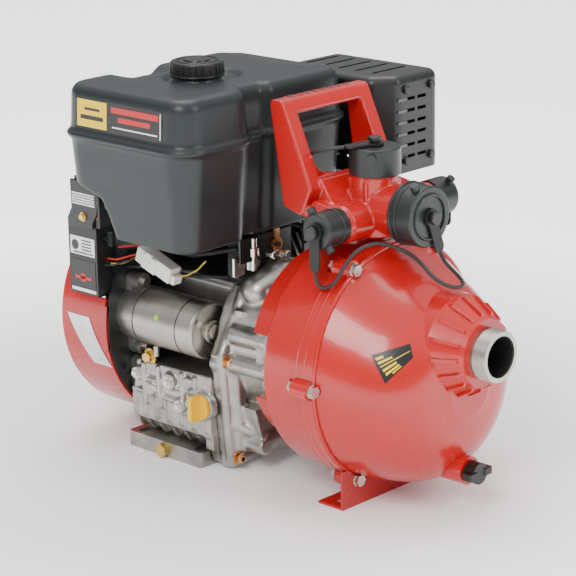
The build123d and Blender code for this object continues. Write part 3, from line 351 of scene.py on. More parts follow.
def add_rod(bm, start, end, radius, end_radius=None, sides=40):
    """A closed round bar between two points, all in millimetres."""
    start, end = point(*start), point(*end)
    run = end - start
    turn = run.to_track_quat("Z", "Y").to_matrix().to_4x4()
    place = Matrix.Translation((start + end) / 2) @ turn
    tip = radius if end_radius is None else end_radius
    bmesh.ops.create_cone(bm, cap_ends=True, segments=sides, radius1=radius * MM, radius2=tip * MM,
                          depth=run.length, matrix=place)


def add_ball(bm, centre, radius):
    place = Matrix.Translation(point(*centre))
    bmesh.ops.create_uvsphere(bm, u_segments=32, v_segments=20, radius=radius * MM, matrix=place)


def add_capsule(bm, start, end, radius, end_radius=None):
    """A bar with round ends."""
    tip = radius if end_radius is None else end_radius
    add_rod(bm, start, end, radius, tip)
    add_ball(bm, start, radius)
    add_ball(bm, end, tip)


def add_chain(bm, points, radius):
    """Round bars from point to point."""
    for start, end in zip(points, points[1:]):
        add_capsule(bm, start, end, radius)


def add_prism(bm, outline, across, low, high):
    """An outline in millimetres pushed along X or Y; its points give the other two axes."""
    rings = []
    for level in (low, high):
        ring = []
        for a, b in outline:
            ring.append(bm.verts.new(point(level, a, b) if across == "x" else point(a, level, b)))
        rings.append(ring)
    bm.faces.new(rings[0])
    bm.faces.new(list(reversed(rings[1])))
    for i in range(len(outline)):
        j = (i + 1) % len(outline)
        bm.faces.new((rings[0][j], rings[0][i], rings[1][i], rings[1][j]))


def add_hexagon(bm, centre, toward, across, height):
    """A hexagon head with a chamfered end, standing from centre towards a direction."""
    aim = Vector(toward).normalized()
    base = Vector(centre)
    neck = base + aim * height * 0.8
    radius = across / math.sqrt(3)
    add_rod(bm, base, neck, radius, sides=6)
    add_rod(bm, neck, base + aim * height, radius, radius * 0.8, sides=6)


def add_tube_ring(bm, centre, radius, tube, axis, segments=64, sides=10):
    """A round bead: tube is the radius of its section, and axis is the letter of its own axis."""
    rings = []
    for i in range(segments):
        turn = 2 * math.pi * i / segments
        ring = []
        for k in range(sides):
            roll = 2 * math.pi * k / sides
            reach = radius + tube * math.cos(roll)
            across = (reach * math.cos(turn), reach * math.sin(turn))
            along = tube * math.sin(roll)
            if axis == "y":
                offset = (across[0], along, across[1])
            elif axis == "z":
                offset = (across[0], across[1], along)
            else:
                offset = (along, across[0], across[1])
            ring.append(bm.verts.new(point(*(c + o for c, o in zip(centre, offset)))))
        rings.append(ring)
    for i in range(segments):
        a, b = rings[i], rings[(i + 1) % segments]
        for k in range(sides):
            after = (k + 1) % sides
            bm.faces.new((a[k], b[k], b[after], a[after]))


def add_turned_ring(bm, section, height, segments=72):
    """A ring about an axis that runs along Y: its section is a loop of (y, radius) corners."""
    rings = []
    for y, radius in section:
        turns = [2 * math.pi * i / segments for i in range(segments)]
        rings.append([bm.verts.new(point(*on_circle(radius, turn, y, height))) for turn in turns])
    for a, b in zip(rings, rings[1:] + rings[:1]):
        for i in range(segments):
            j = (i + 1) % segments
            bm.faces.new((a[i], a[j], b[j], b[i]))


def add_node(bm, name):
    """A copy of a CAD node's mesh."""
    bm.from_mesh(NODES[name].data)


def put(name, mesh, material, slot, body="root", replaces=()):
    """Makes a piece of a mesh: it rides on a body and may replace CAD nodes."""
    piece = bpy.data.objects.new(name, mesh)
    mesh.materials.clear()
    mesh.materials.append(material)
    bpy.context.scene.collection.objects.link(piece)
    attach(piece, body)
    if replaces:
        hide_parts(*replaces)
    return piece


def smooth_by_angle(mesh):
    """Smooth faces, with a sharp edge wherever two of them meet at more than the limit."""
    work = bmesh.new()
    work.from_mesh(mesh)
    for face in work.faces:
        face.smooth = True
    for edge in work.edges:
        if len(edge.link_faces) == 2 and edge.calc_face_angle() > SMOOTH_BELOW:
            edge.smooth = False
    work.to_mesh(mesh)
    work.free()


def plain(name, build, material, bevel=0.0, **where):
    """A piece whose edges are rounded by a bevel in millimetres."""
    work = bmesh.new()
    build(work)
    bmesh.ops.recalc_face_normals(work, faces=work.faces)
    mesh = bpy.data.meshes.new(name)
    work.to_mesh(mesh)
    work.free()
    smooth_by_angle(mesh)
    piece = put(name, mesh, material, **where)
    if bevel:
        rounded = piece.modifiers.new("rounded", "BEVEL")
        rounded.width = bevel * MM
        rounded.segments = 3
        rounded.limit_method = "ANGLE"
        rounded.angle_limit = math.radians(40)
        rounded.use_clamp_overlap = True
    return piece


def casting(name, build, material, grain=1.8, rounds=5, shape=None, keep=1.0, **where):
    """A cast piece: overlapping forms are fused, and every corner is softened.

    grain is the remesh's voxel in millimetres, rounds the smoothing steps, keep the share of
    faces that stay, and shape a function that moves the finished points.
    """
    work = bmesh.new()
    build(work)
    bmesh.ops.recalc_face_normals(work, faces=work.faces)
    raw = bpy.data.meshes.new(name + "_raw")
    work.to_mesh(raw)
    work.free()
    holder = bpy.data.objects.new(name + "_raw", raw)
    bpy.context.scene.collection.objects.link(holder)
    fuse = holder.modifiers.new("fuse", "REMESH")
    fuse.mode = "VOXEL"
    fuse.voxel_size = grain * MM
    soften = holder.modifiers.new("soften", "SMOOTH")
    soften.iterations = rounds
    if keep < 1:
        thin = holder.modifiers.new("thin", "DECIMATE")
        thin.ratio = keep
    graph = bpy.context.evaluated_depsgraph_get()
    mesh = bpy.data.meshes.new_from_object(holder.evaluated_get(graph))
    mesh.name = name
    bpy.data.objects.remove(holder)
    bpy.data.meshes.remove(raw)
    if shape:
        for vertex in mesh.vertices:
            vertex.co = shape(vertex.co)
    mesh.shade_smooth()
    return put(name, mesh, material, **where)


# ---- cords -----------------------------------------------------------------------------
STRAP_WIDTH = 0.0044
LEAD_WIDTH = 0.0024
LEFT_STRAP = [(-104.4, -254, 285.0), (-104.8, -255, 276), (-105.5, -262, 270), (-104.5, -272, 270),
              (-101, -281, 277), (-96, -286, 289), (-89, -289, 301), (-78, -292, 311),
              (-64, -297, 317), (-47, -302, 317), (-32, -309, 311), (-26, -323, 306),
              (-27, -340, 301), (-32, -357, 294), (-34, -372, 285), (-26, -383, 277),
              (-12, -387, 272), (3, -384, 270), (14, -375, 271), (20, -363, 275),
              (21.5, -351, 281), (19, -342, 289), (16.5, -339.5, 298.7)]
REAR_STRAP = [(-37.9, -240.1, 418.4), (-47, -232, 417.5), (-53, -217, 414), (-52, -199, 407),
              (-48, -182, 399), (-40, -168, 388), (-27, -159, 373), (-8, -155, 355),
              (15, -156, 340), (39, -163, 328), (63, -176, 318), (86, -193, 309), (106, -212, 302),
              (121, -230, 299), (129.4, -245.6, 299.5)]
RED_LEAD = [(-133, 68.6, 250), (-133, 56, 250), (-129, 44, 254), (-120, 37, 257), (-114, 33.4, 257)]
YELLOW_LEAD = [(-127, 68.6, 242), (-127, 57, 243), (-123, 45, 248), (-116, 38, 252), (-110, 33.4, 253)]
BLACK_LEAD = [(-139, 68.6, 243), (-139, 55, 244), (-134, 43, 249), (-123, 36, 252), (-115, 33.4, 252.5)]


def make_cord(name, route, width, material, node):
    """One smooth cord through a given route."""
    data = bpy.data.curves.new(name, "CURVE")
    data.dimensions = "3D"
    data.bevel_depth = width / 2
    data.bevel_resolution = 6
    data.use_fill_caps = True
    spline = data.splines.new("NURBS")
    spline.points.add(len(route) - 1)
    for place, target in zip(spline.points, route):
        place.co = (*point(*target), 1)
    spline.order_u = 3
    spline.use_endpoint_u = True
    spline.resolution_u = 16
    data.materials.append(material)
    piece = bpy.data.objects.new(name, data)
    bpy.context.scene.collection.objects.link(piece)
    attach(piece, "root")
    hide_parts(node)


def make_cords():
    strap = rubber("strap_rubber", (0.022, 0.024, 0.025))
    make_cord("left_cap_strap_cord", LEFT_STRAP, STRAP_WIDTH, strap, "left_cap_strap")
    make_cord("rear_cap_strap_cord", REAR_STRAP, STRAP_WIDTH, strap, "rear_cap_strap")
    leads = {"red": (RED_LEAD, (0.50, 0.02, 0.015)), "yellow": (YELLOW_LEAD, (0.80, 0.46, 0.02)),
             "black": (BLACK_LEAD, (0.02, 0.02, 0.02))}
    for name, (route, colour) in leads.items():
        insulation = rubber(name + "_insulation", colour)
        make_cord(name + "_lead", route, LEAD_WIDTH, insulation, "wiring_leads")


make_cords()


# ---- outlet manifold and its handle ----------------------------------------------------
def manifold_form(bm):
    """The CAD manifold with the fillets, web and ribs of a casting."""
    add_node(bm, "outlet_manifold")
    for side in (-1, 1):
        foot = [(side * 57, 370), (side * 57, 408), (side * 52, 395), (side * 44, 387),
                (side * 32, 382), (side * 16, 380), (side * 16, 370)]
        add_prism(bm, foot, "y", -208, -198)
    web = [(-221, 380), (-236, 358), (-256, 346), (-256, 318), (-214, 320), (-198, 340), (-204, 380)]
    add_prism(bm, web, "x", -57, 57)
    add_prism(bm, [(-254, 352), (-254, 320), (-212, 322), (-208, 344), (-222, 358)], "x", -72, 86)
    for angle in range(20, 380, 60):
        edge = math.radians(angle)
        start = (29 * math.cos(edge), -254 + 29 * math.sin(edge), 342)
        add_rod(bm, start, (start[0], start[1], 378), 2.2)


def make_manifold():
    casting("outlet_manifold_casting", manifold_form, MATERIALS["red_casting"], grain=1.35, keep=0.62,
            slot="red_casting", replaces=["outlet_manifold"])


make_manifold()


# ---- engine castings -------------------------------------------------------------------
SIDE_X = -106                # the crankcase's left wall


def block_side_form(bm):
    """The ribbed wall of the crankcase under the starter motor."""
    wall = [(-79, 40), (-79, 120), (62, 116), (62, 66), (50, 40)]
    add_prism(bm, wall, "x", SIDE_X, SIDE_X + 6)
    flare = [(-106, 72), (-105, 50), (-98, 38), (-90, 27), (-76, 20), (-76, 72)]
    add_prism(bm, flare, "y", -76, 60)
    rib = [(-108, 76), (-108, 48), (-102, 34), (-94, 24), (-84, 24), (-84, 76)]
    for y in (-74, -50, -28, -6, 16, 38, 57):
        add_prism(bm, rib, "y", y - 3.5, y + 3.5)
    for y in (-58, -34, 8, 34):
        add_rod(bm, (SIDE_X - 2, y, 62), (SIDE_X - 2, y + 3, 116), 4)
    for z in (76, 94):
        add_rod(bm, (SIDE_X - 1, -76, z), (SIDE_X - 1, 60, z + 2), 3.2)
    for y, z, radius in ((-11, 101, 11), (45, 101, 9), (-44, 106, 8), (22, 84, 8), (-30, 74, 9)):
        add_rod(bm, (SIDE_X + 4, y, z), (SIDE_X - 8, y, z), radius + 1, radius)
    add_rod(bm, (-102, -68, 82), (-112, -68, 82), 20, 17)
    add_capsule(bm, (-103, 56, 60), (-103, 50, 112), 6)
    add_box(bm, -104, -92, -79, -66, 24, 118)


def cover_form(bm):
    """The crankcase's side cover: a thick rim, a dome for the crank bearing and a high shoulder."""
    rim = [(-62, 228), (62, 228), (106, 150), (98, 60), (92, 4), (-92, 4), (-98, 60), (-106, 150)]
    add_prism(bm, rim, "y", -94, -80)
    bead = [(x * 0.95, -95, 6 + z * 0.96) for x, z in rim]
    add_chain(bm, bead + bead[:1], 7)
    add_rod(bm, (0, -82, 150), (0, -150, 158), 96, 84)
    add_rod(bm, (0, -146, 160), (0, -165, 160), 96, 93)
    add_prism(bm, [(-66, 20), (66, 20), (84, 84), (-84, 84)], "y", -132, -88)
    add_capsule(bm, (-58, -124, 40), (58, -124, 40), 14)
    add_rod(bm, (-70, -92, 34), (-70, -138, 34), 11, 10)
    add_capsule(bm, (-84, -100, 60), (-62, -128, 44), 9)
    add_capsule(bm, (-47, -99, 216), (-64, -104, 182), 13, 15)
    add_capsule(bm, (-64, -104, 182), (-86, -102, 130), 15, 12)
    add_capsule(bm, (-86, -102, 130), (-78, -100, 30), 11, 10)
    add_capsule(bm, (-52, -112, 224), (-20, -122, 236), 21, 25)
    add_capsule(bm, (-20, -122, 236), (14, -112, 232), 25, 18)
    add_rod(bm, (-30, -150, 219), (-22, -110, 219), 12, 16)
    for x, z in ((-52, 217), (52, 217), (-97, 139), (97, 139), (-82, 14), (82, 14), (-14, 12)):
        add_rod(bm, (x, -80, z), (x, -96, z), 12, 11)
    for angle in (-150, -120, -60, -30, 30, 60, 120, 150):
        edge = math.radians(angle)
        rib = (92 * math.sin(edge), -100, 156 + 92 * math.cos(edge))
        add_capsule(bm, rib, (66 * math.sin(edge), -150, 158 + 66 * math.cos(edge)), 3.5)
    for x, z in ((-86, 176), (-91, 141), (86, 176), (91, 141)):
        add_rod(bm, (x, -100, z), (x, -165, z), 12, 10)
    add_rod(bm, (0, -160, 160), (0, -165, 160), 96)


def make_castings():
    alloy = MATERIALS["cast_aluminium"]
    casting("block_side_casting", block_side_form, alloy, grain=1.5, rounds=4, slot="cast_aluminium")
    casting("side_cover_casting", cover_form, alloy, grain=2.0, slot="cast_aluminium",
            replaces=["side_cover"])


make_castings()


# ---- fuel tank -------------------------------------------------------------------------
TANK_SIDE_X = -203.6         # the tank's left side, at the height below
TANK_SIDE_Z = 422.5
TANK_DRAFT = math.tan(math.radians(3))
LABEL_DEPTH = 0.8            # how far a label's back goes into the side


def fade(value, low, high):
    """Goes smoothly from 0 at low to 1 at high."""
    share = min(1, max(0, (value - low) / (high - low)))
    return share * share * (3 - 2 * share)


def sink_tank_top(spot):
    """Lowers the tank's top round the filler neck and towards its rear left corner."""
    x, y, z = spot / MM
    across, along = x - FUEL_CAP[0], y - FUEL_CAP[1]
    upper = fade(z, 446, 474)
    from_cap = math.hypot(across, along)
    bowl = fade(from_cap, 27, 31) * (1 - fade(math.hypot((x + 68) / 1.2, along), 36, 46))
    valley = fade(x, -136, -112) * (1 - fade(x, -66, -44)) * fade(y, 0, 40)
    dimple = math.exp(-(((x + 152) / 20) ** 2 + ((y + 14) / 26) ** 2))
    groove = math.exp(-(((x - 72) / 16) ** 2)) * fade(y, -120, -60)
    drop = max(7.5 * bowl, 10 * valley * fade(from_cap, 34, 56)) + 4 * dimple + 2.5 * groove
    return Vector((spot.x, spot.y, spot.z - drop * upper * MM))


def add_tank_strip(bm, y0, y1, z0, z1, proud):
    """A thin plate that stands proud of the tank's left side and leans as the side does."""
    x_low = TANK_SIDE_X + (z0 - TANK_SIDE_Z) * TANK_DRAFT
    x_high = TANK_SIDE_X + (z1 - TANK_SIDE_Z) * TANK_DRAFT
    corners = [(x_low, y1, z0), (x_low, y0, z0), (x_high, y0, z1), (x_high, y1, z1)]
    front = [bm.verts.new(point(x - proud, y, z)) for x, y, z in corners]
    back = [bm.verts.new(point(x + LABEL_DEPTH, y, z)) for x, y, z in corners]
    bm.faces.new(front)
    bm.faces.new(list(reversed(back)))
    for i in range(4):
        j = (i + 1) % 4
        bm.faces.new((front[j], front[i], back[i], back[j]))


def tank_strips(strips):
    """Returns a builder of thin plates on the tank's side: y0, y1, z0, z1 and proud of each."""
    def build(bm):
        for strip in strips:
            add_tank_strip(bm, *strip)
    return build


def tank_form(bm):
    add_node(bm, "fuel_tank")


def make_tank():
    casting("fuel_tank_moulding", tank_form, MATERIALS["tank_plastic"], grain=2.7, rounds=4,
            shape=sink_tank_top, slot="tank_plastic", replaces=["fuel_tank"])
    labels = [
        ("tank_label_yellow", "yellow", [(-18, 33, 435, 467, 0.7)]),
        ("tank_label_black", "black", [(-112, -19, 433, 469, 0.7)]),
        ("tank_label_bars", "black", [(-12, 27, 444, 449, 1.0), (-6, 20, 455, 458, 1.0)]),
        ("tank_label_red_bars", "red", [(-106, -26, 457, 464, 1.0), (-92, -38, 447, 453, 1.0)]),
        ("tank_label_thin_bars", "white", [(-104, -28, 439.5, 441, 1.0), (-109.5, -108.3, 436, 466, 1.0)]),
    ]
    for name, colour, strips in labels:
        plain(name, tank_strips(strips), LABELS[colour], slot="tank_plastic")


make_tank()


# ---- bowl label ------------------------------------------------------------------------
LABEL_PLANE_Y = -340         # a plane in front of the bowl, on which the label is laid out
BOWL_LABEL = ((-106, 205), (-38, 202), (-33, 184), (-82, 165))
LABEL_COLUMNS = 12
RAY_START = 0.3              # metres in front of that plane


def bowl_surface():
    """The front casing as a surface that a ray can be cast at."""
    bowl = bmesh.new()
    bowl.from_mesh(NODES["front_casing"].data)
    surface = BVHTree.FromBMesh(bowl)
    bowl.free()
    return surface


def between(start, end, share):
    return tuple(a + (b - a) * share for a, b in zip(start, end))


def label_corners(left, right, top, bottom):
    """Corners (x, z) of a part of the label, whose sides are shares of its width and height."""
    top_left, top_right, low_right, low_left = BOWL_LABEL
    found = []
    for across, down in ((left, top), (right, top), (right, bottom), (left, bottom)):
        upper = between(top_left, top_right, across)
        lower = between(low_left, low_right, across)
        found.append(between(upper, lower, down))
    return found


def bowl_decal(name, surface, material, part, proud, rows=8):
    """A film on the bowl: a part of the label is thrown onto it along lines from the camera's place."""
    corners = [point(x, LABEL_PLANE_Y, z) for x, z in label_corners(*part)]
    top_left, top_right, low_right, low_left = corners
    work = bmesh.new()
    grid = []
    for i in range(rows + 1):
        line = []
        for j in range(LABEL_COLUMNS + 1):
            upper = top_left.lerp(top_right, j / LABEL_COLUMNS)
            lower = low_left.lerp(low_right, j / LABEL_COLUMNS)
            spot = upper.lerp(lower, i / rows)
            aim = (spot - CAMERA_PLACE).normalized()
            hit, normal, _, _ = surface.ray_cast(spot - aim * RAY_START, aim)
            if normal.dot(aim) > 0:
                normal = -normal
            line.append(work.verts.new(hit + normal * proud * MM))
        grid.append(line)
    for i in range(rows):
        for j in range(LABEL_COLUMNS):
            work.faces.new((grid[i][j], grid[i + 1][j], grid[i + 1][j + 1], grid[i][j + 1]))
    mesh = bpy.data.meshes.new(name)
    work.to_mesh(mesh)
    work.free()
    mesh.shade_smooth()
    put(name, mesh, material, slot="black_plastic")


def make_bowl_label():
    surface = bowl_surface()
    bowl_decal("bowl_label_black", surface, LABELS["black"], (0, 1, 0, 1), 0.35)
    bars = [(0.06, 0.26, 0.13, 0.22), (0.07, 0.46, 0.29, 0.37), (0.08, 0.95, 0.45, 0.49),
            (0.10, 0.52, 0.58, 0.67), (0.12, 0.56, 0.74, 0.83), (0.30, 0.60, 0.88, 0.93)]
    for i, bar in enumerate(bars):
        bowl_decal("bowl_label_bar_%d" % i, surface, LABELS["yellow"], bar, 0.6, rows=2)


make_bowl_label()


# ---- control box: labels, plate and bolt -----------------------------------------------
BOX_FACE_X = -150


def face_plate(y0, y1, z0, z1, thick=0.8):
    """Returns a builder of a plate on the control box's face."""
    return lambda bm: add_box(bm, BOX_FACE_X - thick, BOX_FACE_X + 0.4, y0, y1, z0, z1)


def label_marks_form(bm):
    """A round sign and rows of dark bars on the white label."""
    add_rod(bm, (-151.1, 108, 265), (-150.2, 108, 265), 6.5)
    for z in (272, 268, 264, 260):
        add_box(bm, -151.1, -150.2, 78, 96, z - 0.8, z + 0.8)
    add_box(bm, -151.1, -150.2, 76, 112, 255, 256.6)


def label_seal_form(bm):
    """A red dot across a red bar."""
    add_rod(bm, (-151.0, 95, 224), (-150.2, 95, 224), 5.5)
    add_box(bm, -151.0, -150.2, 80, 110, 222, 226)


def upper_plate_form(bm):
    """The bracket's black plate above the control box, with a flange at its front."""
    outline = [(63, 348), (60, 336), (66, 308), (74, 296), (74, 288), (120, 288), (120, 298),
               (112, 312), (113, 348)]
    add_prism(bm, outline, "x", -151.4, -147.6)
    add_box(bm, -151.4, -128, 60, 64, 292, 340)


def upper_bolt_form(bm):
    add_rod(bm, (-151, 90, 303), (-152.6, 90, 303), 5.5)
    add_hexagon(bm, (-152.4, 90, 303), (-1, 0, 0), 7.5, 3.5)


def bracket_bars_form(bm):
    for i in range(5):
        add_box(bm, -152.2, -151.2, 68, 109, 318 + i * 3.2, 319.8 + i * 3.2)


def make_control_box():
    slot = "black_plastic"
    plain("control_label_white", face_plate(73, 117, 253, 276), LABELS["white"], slot=slot)
    plain("control_label_dark", face_plate(73, 117, 212, 246, 0.5), LABELS["black"], slot=slot)
    plain("control_label_line", face_plate(73, 117, 206, 210), LABELS["white"], slot=slot)
    plain("control_label_marks", label_marks_form, LABELS["black"], slot=slot)
    plain("control_label_seal", label_seal_form, LABELS["red"], slot=slot)
    plain("control_upper_plate", upper_plate_form, MATERIALS["black_steel"], bevel=1.0, slot="black_steel")
    plain("control_upper_bolt", upper_bolt_form, MATERIALS["brass"], slot="brass")
    plain("bracket_label_bars", bracket_bars_form, LABELS["white"], slot=slot)


make_control_box()


# ---- blower ----------------------------------------------------------------------------
BAND_RADIUS = 143.8          # just outside the red band round the blower


def front_wall_form(bm):
    """The black front wall, between the flywheel opening and the red band, with nine ribs."""
    add_turned_ring(bm, [(63, 60), (68, 60), (68, 140.5), (63, 140.5)], SHAFT_Z)
    for angle in range(20, 380, 40):
        turn = math.radians(angle)
        add_rod(bm, on_circle(64, turn, 64), on_circle(132, turn, 64), 2.5)


def upper_cover_form(bm):
    """A black cover, 3 mm thick, that bends round the band's upper left."""
    outline = []
    for radius, angles in ((144.0, range(112, 152, 3)), (147.0, range(151, 111, -3))):
        for angle in angles:
            x, _, z = on_circle(radius, math.radians(angle), 0)
            outline.append((x, z))
    add_prism(bm, outline, "y", 56, 104)


def data_plate_form(bm):
    """A slanting silver plate with nothing printed on it, bent round the red band."""
    steps = 12
    rows = []
    for i in range(steps + 1):
        share = i / steps
        z = 170 - 62 * share
        x = -math.sqrt(BAND_RADIUS ** 2 - (z - SHAFT_Z) ** 2)
        rows.append([bm.verts.new(point(x, y, z)) for y in (97 - 30 * share, 137 - 36 * share)])
    for a, b in zip(rows, rows[1:]):
        bm.faces.new((a[0], b[0], b[1], a[1]))


def make_blower():
    plain("blower_front_wall", front_wall_form, MATERIALS["black_steel"], slot="black_steel")
    plain("blower_upper_cover", upper_cover_form, MATERIALS["black_plastic"], slot="black_plastic")
    plain("blower_data_plate", data_plate_form, LABELS["silver"], slot="zinc_steel")


make_blower()


# ---- fasteners and governor linkage ----------------------------------------------------
WASHER_SHARE = 0.82          # a washer's radius, as a share of the hexagon's width
DIMPLE_SHARE = 0.26          # the radius of the round mark on a bolt's head, likewise


def bolts_on_cover(places, y, across, height):
    """Returns a builder of flanged bolts on a face that looks along -Y."""
    def build(bm):
        for x, z in places:
            add_rod(bm, (x, y + 1, z), (x, y - 1.2, z), across * WASHER_SHARE)
            add_hexagon(bm, (x, y - 1, z), (0, -1, 0), across, height)
            add_rod(bm, (x, y - 1 - height, z), (x, y - 0.2 - height, z), across * DIMPLE_SHARE)
    return build


def bolts_on_block(places, x, across, height):
    """Returns a builder of flanged bolts on a face that looks along -X."""
    def build(bm):
        for y, z in places:
            add_rod(bm, (x + 1, y, z), (x - 1.2, y, z), across * WASHER_SHARE)
            add_hexagon(bm, (x - 1, y, z), (-1, 0, 0), across, height)
    return build


def tapped_boss_form(bm):
    add_rod(bm, (-50, -120, 228), (-50, -141, 228), 9.5, 8.5)
    add_tube_ring(bm, (-50, -141, 228), 6.5, 1.6, "y")


# A dark iron disc at the boss's mouth: painted shade in the tapped hole.
def tapped_hole_shade_form(bm):
    add_rod(bm, (-50, -141.4, 228), (-50, -136, 228), 5)


def governor_tabs_form(bm):
    add_box(bm, -84, -66, -103, -99.5, 246, 270)
    add_box(bm, -60, -40, -104, -100, 250, 276)


def linkage_form(bm):
    """Three pivot screws, the rod between them and a post with its collar."""
    for x, z in ((-36, 268), (-12, 264), (8, 252)):
        add_rod(bm, (x, -112, z), (x, -122, z), 4)
        add_hexagon(bm, (x, -120, z), (0, -1, 0), 9, 5)
    add_rod(bm, (-36, -118, 268), (8, -118, 252), 1.4)
    add_rod(bm, (-54, -106, 250), (-54, -106, 290), 4.5)
    add_rod(bm, (-54, -106, 268), (-54, -106, 278), 7)


def make_fasteners():
    yellow = MATERIALS["yellow_zinc"]
    silver = MATERIALS["zinc_steel"]
    plain("cover_flange_bolts", bolts_on_cover([(-99, 144), (-84, 16)], -103, 11, 7), yellow,
          slot="yellow_zinc")
    plain("cover_shoulder_bolt", bolts_on_cover([(-60, 214)], -115, 11, 6), yellow, slot="yellow_zinc")
    plain("cover_tapped_boss", tapped_boss_form, MATERIALS["cast_aluminium"], slot="cast_aluminium")
    # The tapped hole is a dark disc: painted shade.
    plain("cover_tapped_hole_shade", tapped_hole_shade_form, MATERIALS["iron"], slot="iron")
    plain("cover_face_bolts", bolts_on_cover([(-86, 176), (-91, 141)], -165, 11, 6), silver,
          slot="zinc_steel")
    plain("block_side_bolts", bolts_on_block([(-11, 101), (45, 101), (-30, 74)], -114, 9, 4), silver,
          slot="zinc_steel")
    plain("block_side_nut", bolts_on_block([(29, 124)], -104, 13, 8), MATERIALS["brass"], slot="brass")
    plain("block_low_plugs", bolts_on_block([(43, 30)], -84, 10, 6), yellow, slot="yellow_zinc")
    plain("governor_tabs", governor_tabs_form, silver, bevel=0.8, slot="zinc_steel")
    plain("governor_linkage", linkage_form, silver, slot="zinc_steel")


make_fasteners()


# ---- wiring ----------------------------------------------------------------------------
PLUG_TILT = Matrix.Rotation(math.radians(19), 3, "X")


def plug_form(bm):
    """The white plug: its body, a wider middle, a latch and a foot, all tilted forward."""
    add_box(bm, -121, -103, -30, 31, 241, 261, PLUG_TILT)
    add_box(bm, -123, -101, -6, 18, 242, 262, PLUG_TILT)
    add_box(bm, -124, -119, 2, 12, 248, 266, PLUG_TILT)
    add_box(bm, -119, -105, -34, -28, 231, 243, PLUG_TILT)


def make_loom(name, radius, material, route):
    plain(name, lambda bm: add_chain(bm, route, radius), material, slot="black_rubber")


def make_wiring():
    """The plug, and the looms that pass behind it and over the starter."""
    plain("wiring_plug_body", plug_form, MATERIALS["white_plastic"], bevel=0.9, slot="white_plastic",
          replaces=["wiring_plug"])
    black = MATERIALS["black_rubber"]
    red = rubber("loom_red", (0.35, 0.02, 0.02))
    yellow = rubber("loom_yellow", (0.55, 0.45, 0.08))
    make_loom("loom_black_upper", 3.2, black, [(-112, 60, 262), (-104, 30, 268), (-96, 0, 264),
                                               (-84, -34, 262), (-70, -62, 268), (-60, -84, 274)])
    make_loom("loom_black_lower", 2.6, black, [(-108, 62, 236), (-104, 30, 240), (-97, -8, 236),
                                               (-86, -44, 238), (-72, -80, 240)])
    make_loom("loom_red_wire", 1.4, red, [(-118, 64, 262), (-110, 44, 266), (-100, 10, 272),
                                          (-88, -26, 270)])
    make_loom("loom_yellow_wire", 1.1, yellow, [(-112, -30, 240), (-106, -44, 243), (-98, -54, 250),
                                                (-90, -60, 260)])


make_wiring()


# ---- caps ------------------------------------------------------------------------------
def main_cap_form(bm):
    """Rings on the main cap's face and rim."""
    for y, radius, tube in ((-337.6, 26, 2.0), (-306, 36.2, 1.4), (-314, 36.2, 1.0)):
        add_tube_ring(bm, (0, y, MAIN_CAP_Z), radius, tube, "y")


def left_cap_form(bm):
    for x, radius, tube in ((-76, 21.2, 0.9), (-98, 20.6, 1.2)):
        add_tube_ring(bm, (x, *LEFT_CAP), radius, tube, "x")


def fuel_cap_form(bm):
    """Beads at the fuel cap's top and foot, a raised disc and thirty grip ribs."""
    ribs = 30
    add_tube_ring(bm, (*FUEL_CAP, 502), 25, 1.6, "z")
    add_tube_ring(bm, (*FUEL_CAP, 486), 31.6, 1.5, "z")
    add_rod(bm, (*FUEL_CAP, 500), (*FUEL_CAP, 504), 17, 15.5)
    for i in range(ribs):
        turn = 2 * math.pi * i / ribs
        x = FUEL_CAP[0] + 31.4 * math.cos(turn)
        y = FUEL_CAP[1] + 31.4 * math.sin(turn)
        add_rod(bm, (x, y, 486.5), (x, y, 500), 1.5, 1.2, sides=10)


def make_cap_details():
    grey = MATERIALS["grey_plastic"]
    plain("main_cap_rings", main_cap_form, grey, body="main_cap", slot="grey_plastic")
    plain("left_cap_rings", left_cap_form, grey, body="left_cap", slot="grey_plastic")
    plain("fuel_cap_top", fuel_cap_form, MATERIALS["black_plastic"], body="fuel_cap", slot="black_plastic")


make_cap_details()


# ---- starter ---------------------------------------------------------------------------
def starter_rings(*rows):
    """Returns a builder of beads round the starter: y, radius and tube of each."""
    def build(bm):
        for y, radius, tube in rows:
            add_tube_ring(bm, (STARTER_AXIS[0], y, STARTER_AXIS[1]), radius, tube, "y")
    return build


def starter_mark_form(bm):
    add_rod(bm, (-124, -10, 186), (-128.4, -10, 187.6), 3.4)


def make_starter_details():
    paint = MATERIALS["starter_paint"]
    plain("starter_seams", starter_rings((-43, 35.6, 0.8), (32, 35.6, 0.8)), MATERIALS["black_rubber"],
          slot="black_rubber")
    plain("starter_hub", starter_rings((-70, 33.2, 1.3), (-74, 13, 1.4)), paint, slot="starter_paint")
    plain("starter_mark", starter_mark_form, printed("mark_green", (0.35, 0.62, 0.02), 0.4),
          slot="starter_paint")


make_starter_details()


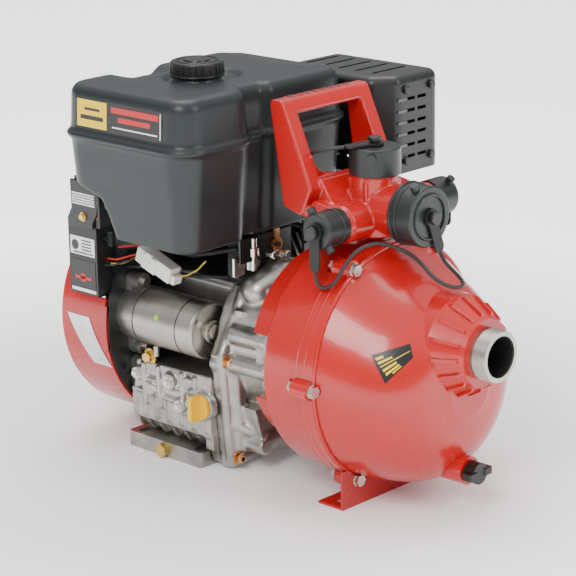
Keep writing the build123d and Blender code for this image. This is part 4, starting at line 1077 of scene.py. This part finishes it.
# ---- pump casing: flange, nipple and handle --------------------------------------------
def flange_form(bm):
    """Three beads round the flange between the pump's casings."""
    for y, radius, tube in ((-285, 143.2, 2.4), (-273, 143.4, 3.2), (-261, 143.4, 3.2)):
        add_tube_ring(bm, (0, y, SHAFT_Z), radius, tube, "y")


def nipple_thread_form(bm):
    for y in range(-441, -423, 2):
        add_tube_ring(bm, (0, y + 0.6, INLET_Z), 29.7, 0.75, "y")


def nipple_bore_shade_form(bm):
    """A dark sleeve inside the nipple: painted shade in its bore."""
    add_turned_ring(bm, [(-439.5, 24.4), (-388, 24.4), (-388, 23.9), (-439.5, 23.9)], INLET_Z)


def handle_pocket_shade_form(bm):
    """Eight dark tiles along the slope of the handle's grip: painted shade in its pockets."""
    tiles, pitch, half = 8, 13.5, 4.2
    outline = [(-178.4, 466.4), (-164, 470.9), (-164, 470.0), (-178.0, 465.6)]
    for i in range(tiles):
        x = (i - (tiles - 1) / 2) * pitch
        add_prism(bm, outline, "x", x - half, x + half)


def make_casing_details():
    plain("flange_beads", flange_form, MATERIALS["red_casting"], slot="red_casting")
    plain("nipple_thread", nipple_thread_form, MATERIALS["starter_paint"], slot="machined_aluminium")
    # A dark sleeve that paints the shade inside the nipple's bore.
    plain("nipple_bore_shade", nipple_bore_shade_form, MATERIALS["black_rubber"], slot="black_rubber")
    # The handle's pockets are drawn as dark red tiles: painted shade.
    plain("handle_pocket_shade", handle_pocket_shade_form, printed("pocket_shade_red", (0.11, 0.004, 0.004), 0.5),
          slot="red_casting")


make_casing_details()


# ---- cylinder baffle and silencer guard ------------------------------------------------
def baffle_form(bm):
    """A black plate with three ribs in front of the cylinder's fins."""
    add_box(bm, 56, 126, -86, -82.5, 224, 299)
    for z in (238, 256, 274):
        add_box(bm, 58, 122, -88, -86, z, z + 3)


def guard_heads_form(bm):
    for x in (155, 203):
        for z in (357, 446):
            add_hexagon(bm, (x, -167.6, z), (0, -1, 0), 10, 5)


def guard_slots_form(bm):
    """Dull strips along the guard's six short slots."""
    for i in range(6):
        z = 434 - 14.5 * i
        add_box(bm, 141, 158, -168.6, -167.4, z - 1.6, z + 1.6)


def make_guard_details():
    steel = MATERIALS["black_steel"]
    plain("cylinder_baffle", baffle_form, steel, bevel=0.8, slot="black_steel")
    plain("guard_screw_heads", guard_heads_form, steel, bevel=0.6, slot="black_steel")
    plain("guard_slot_edges", guard_slots_form, MATERIALS["iron"], slot="black_steel")


make_guard_details()
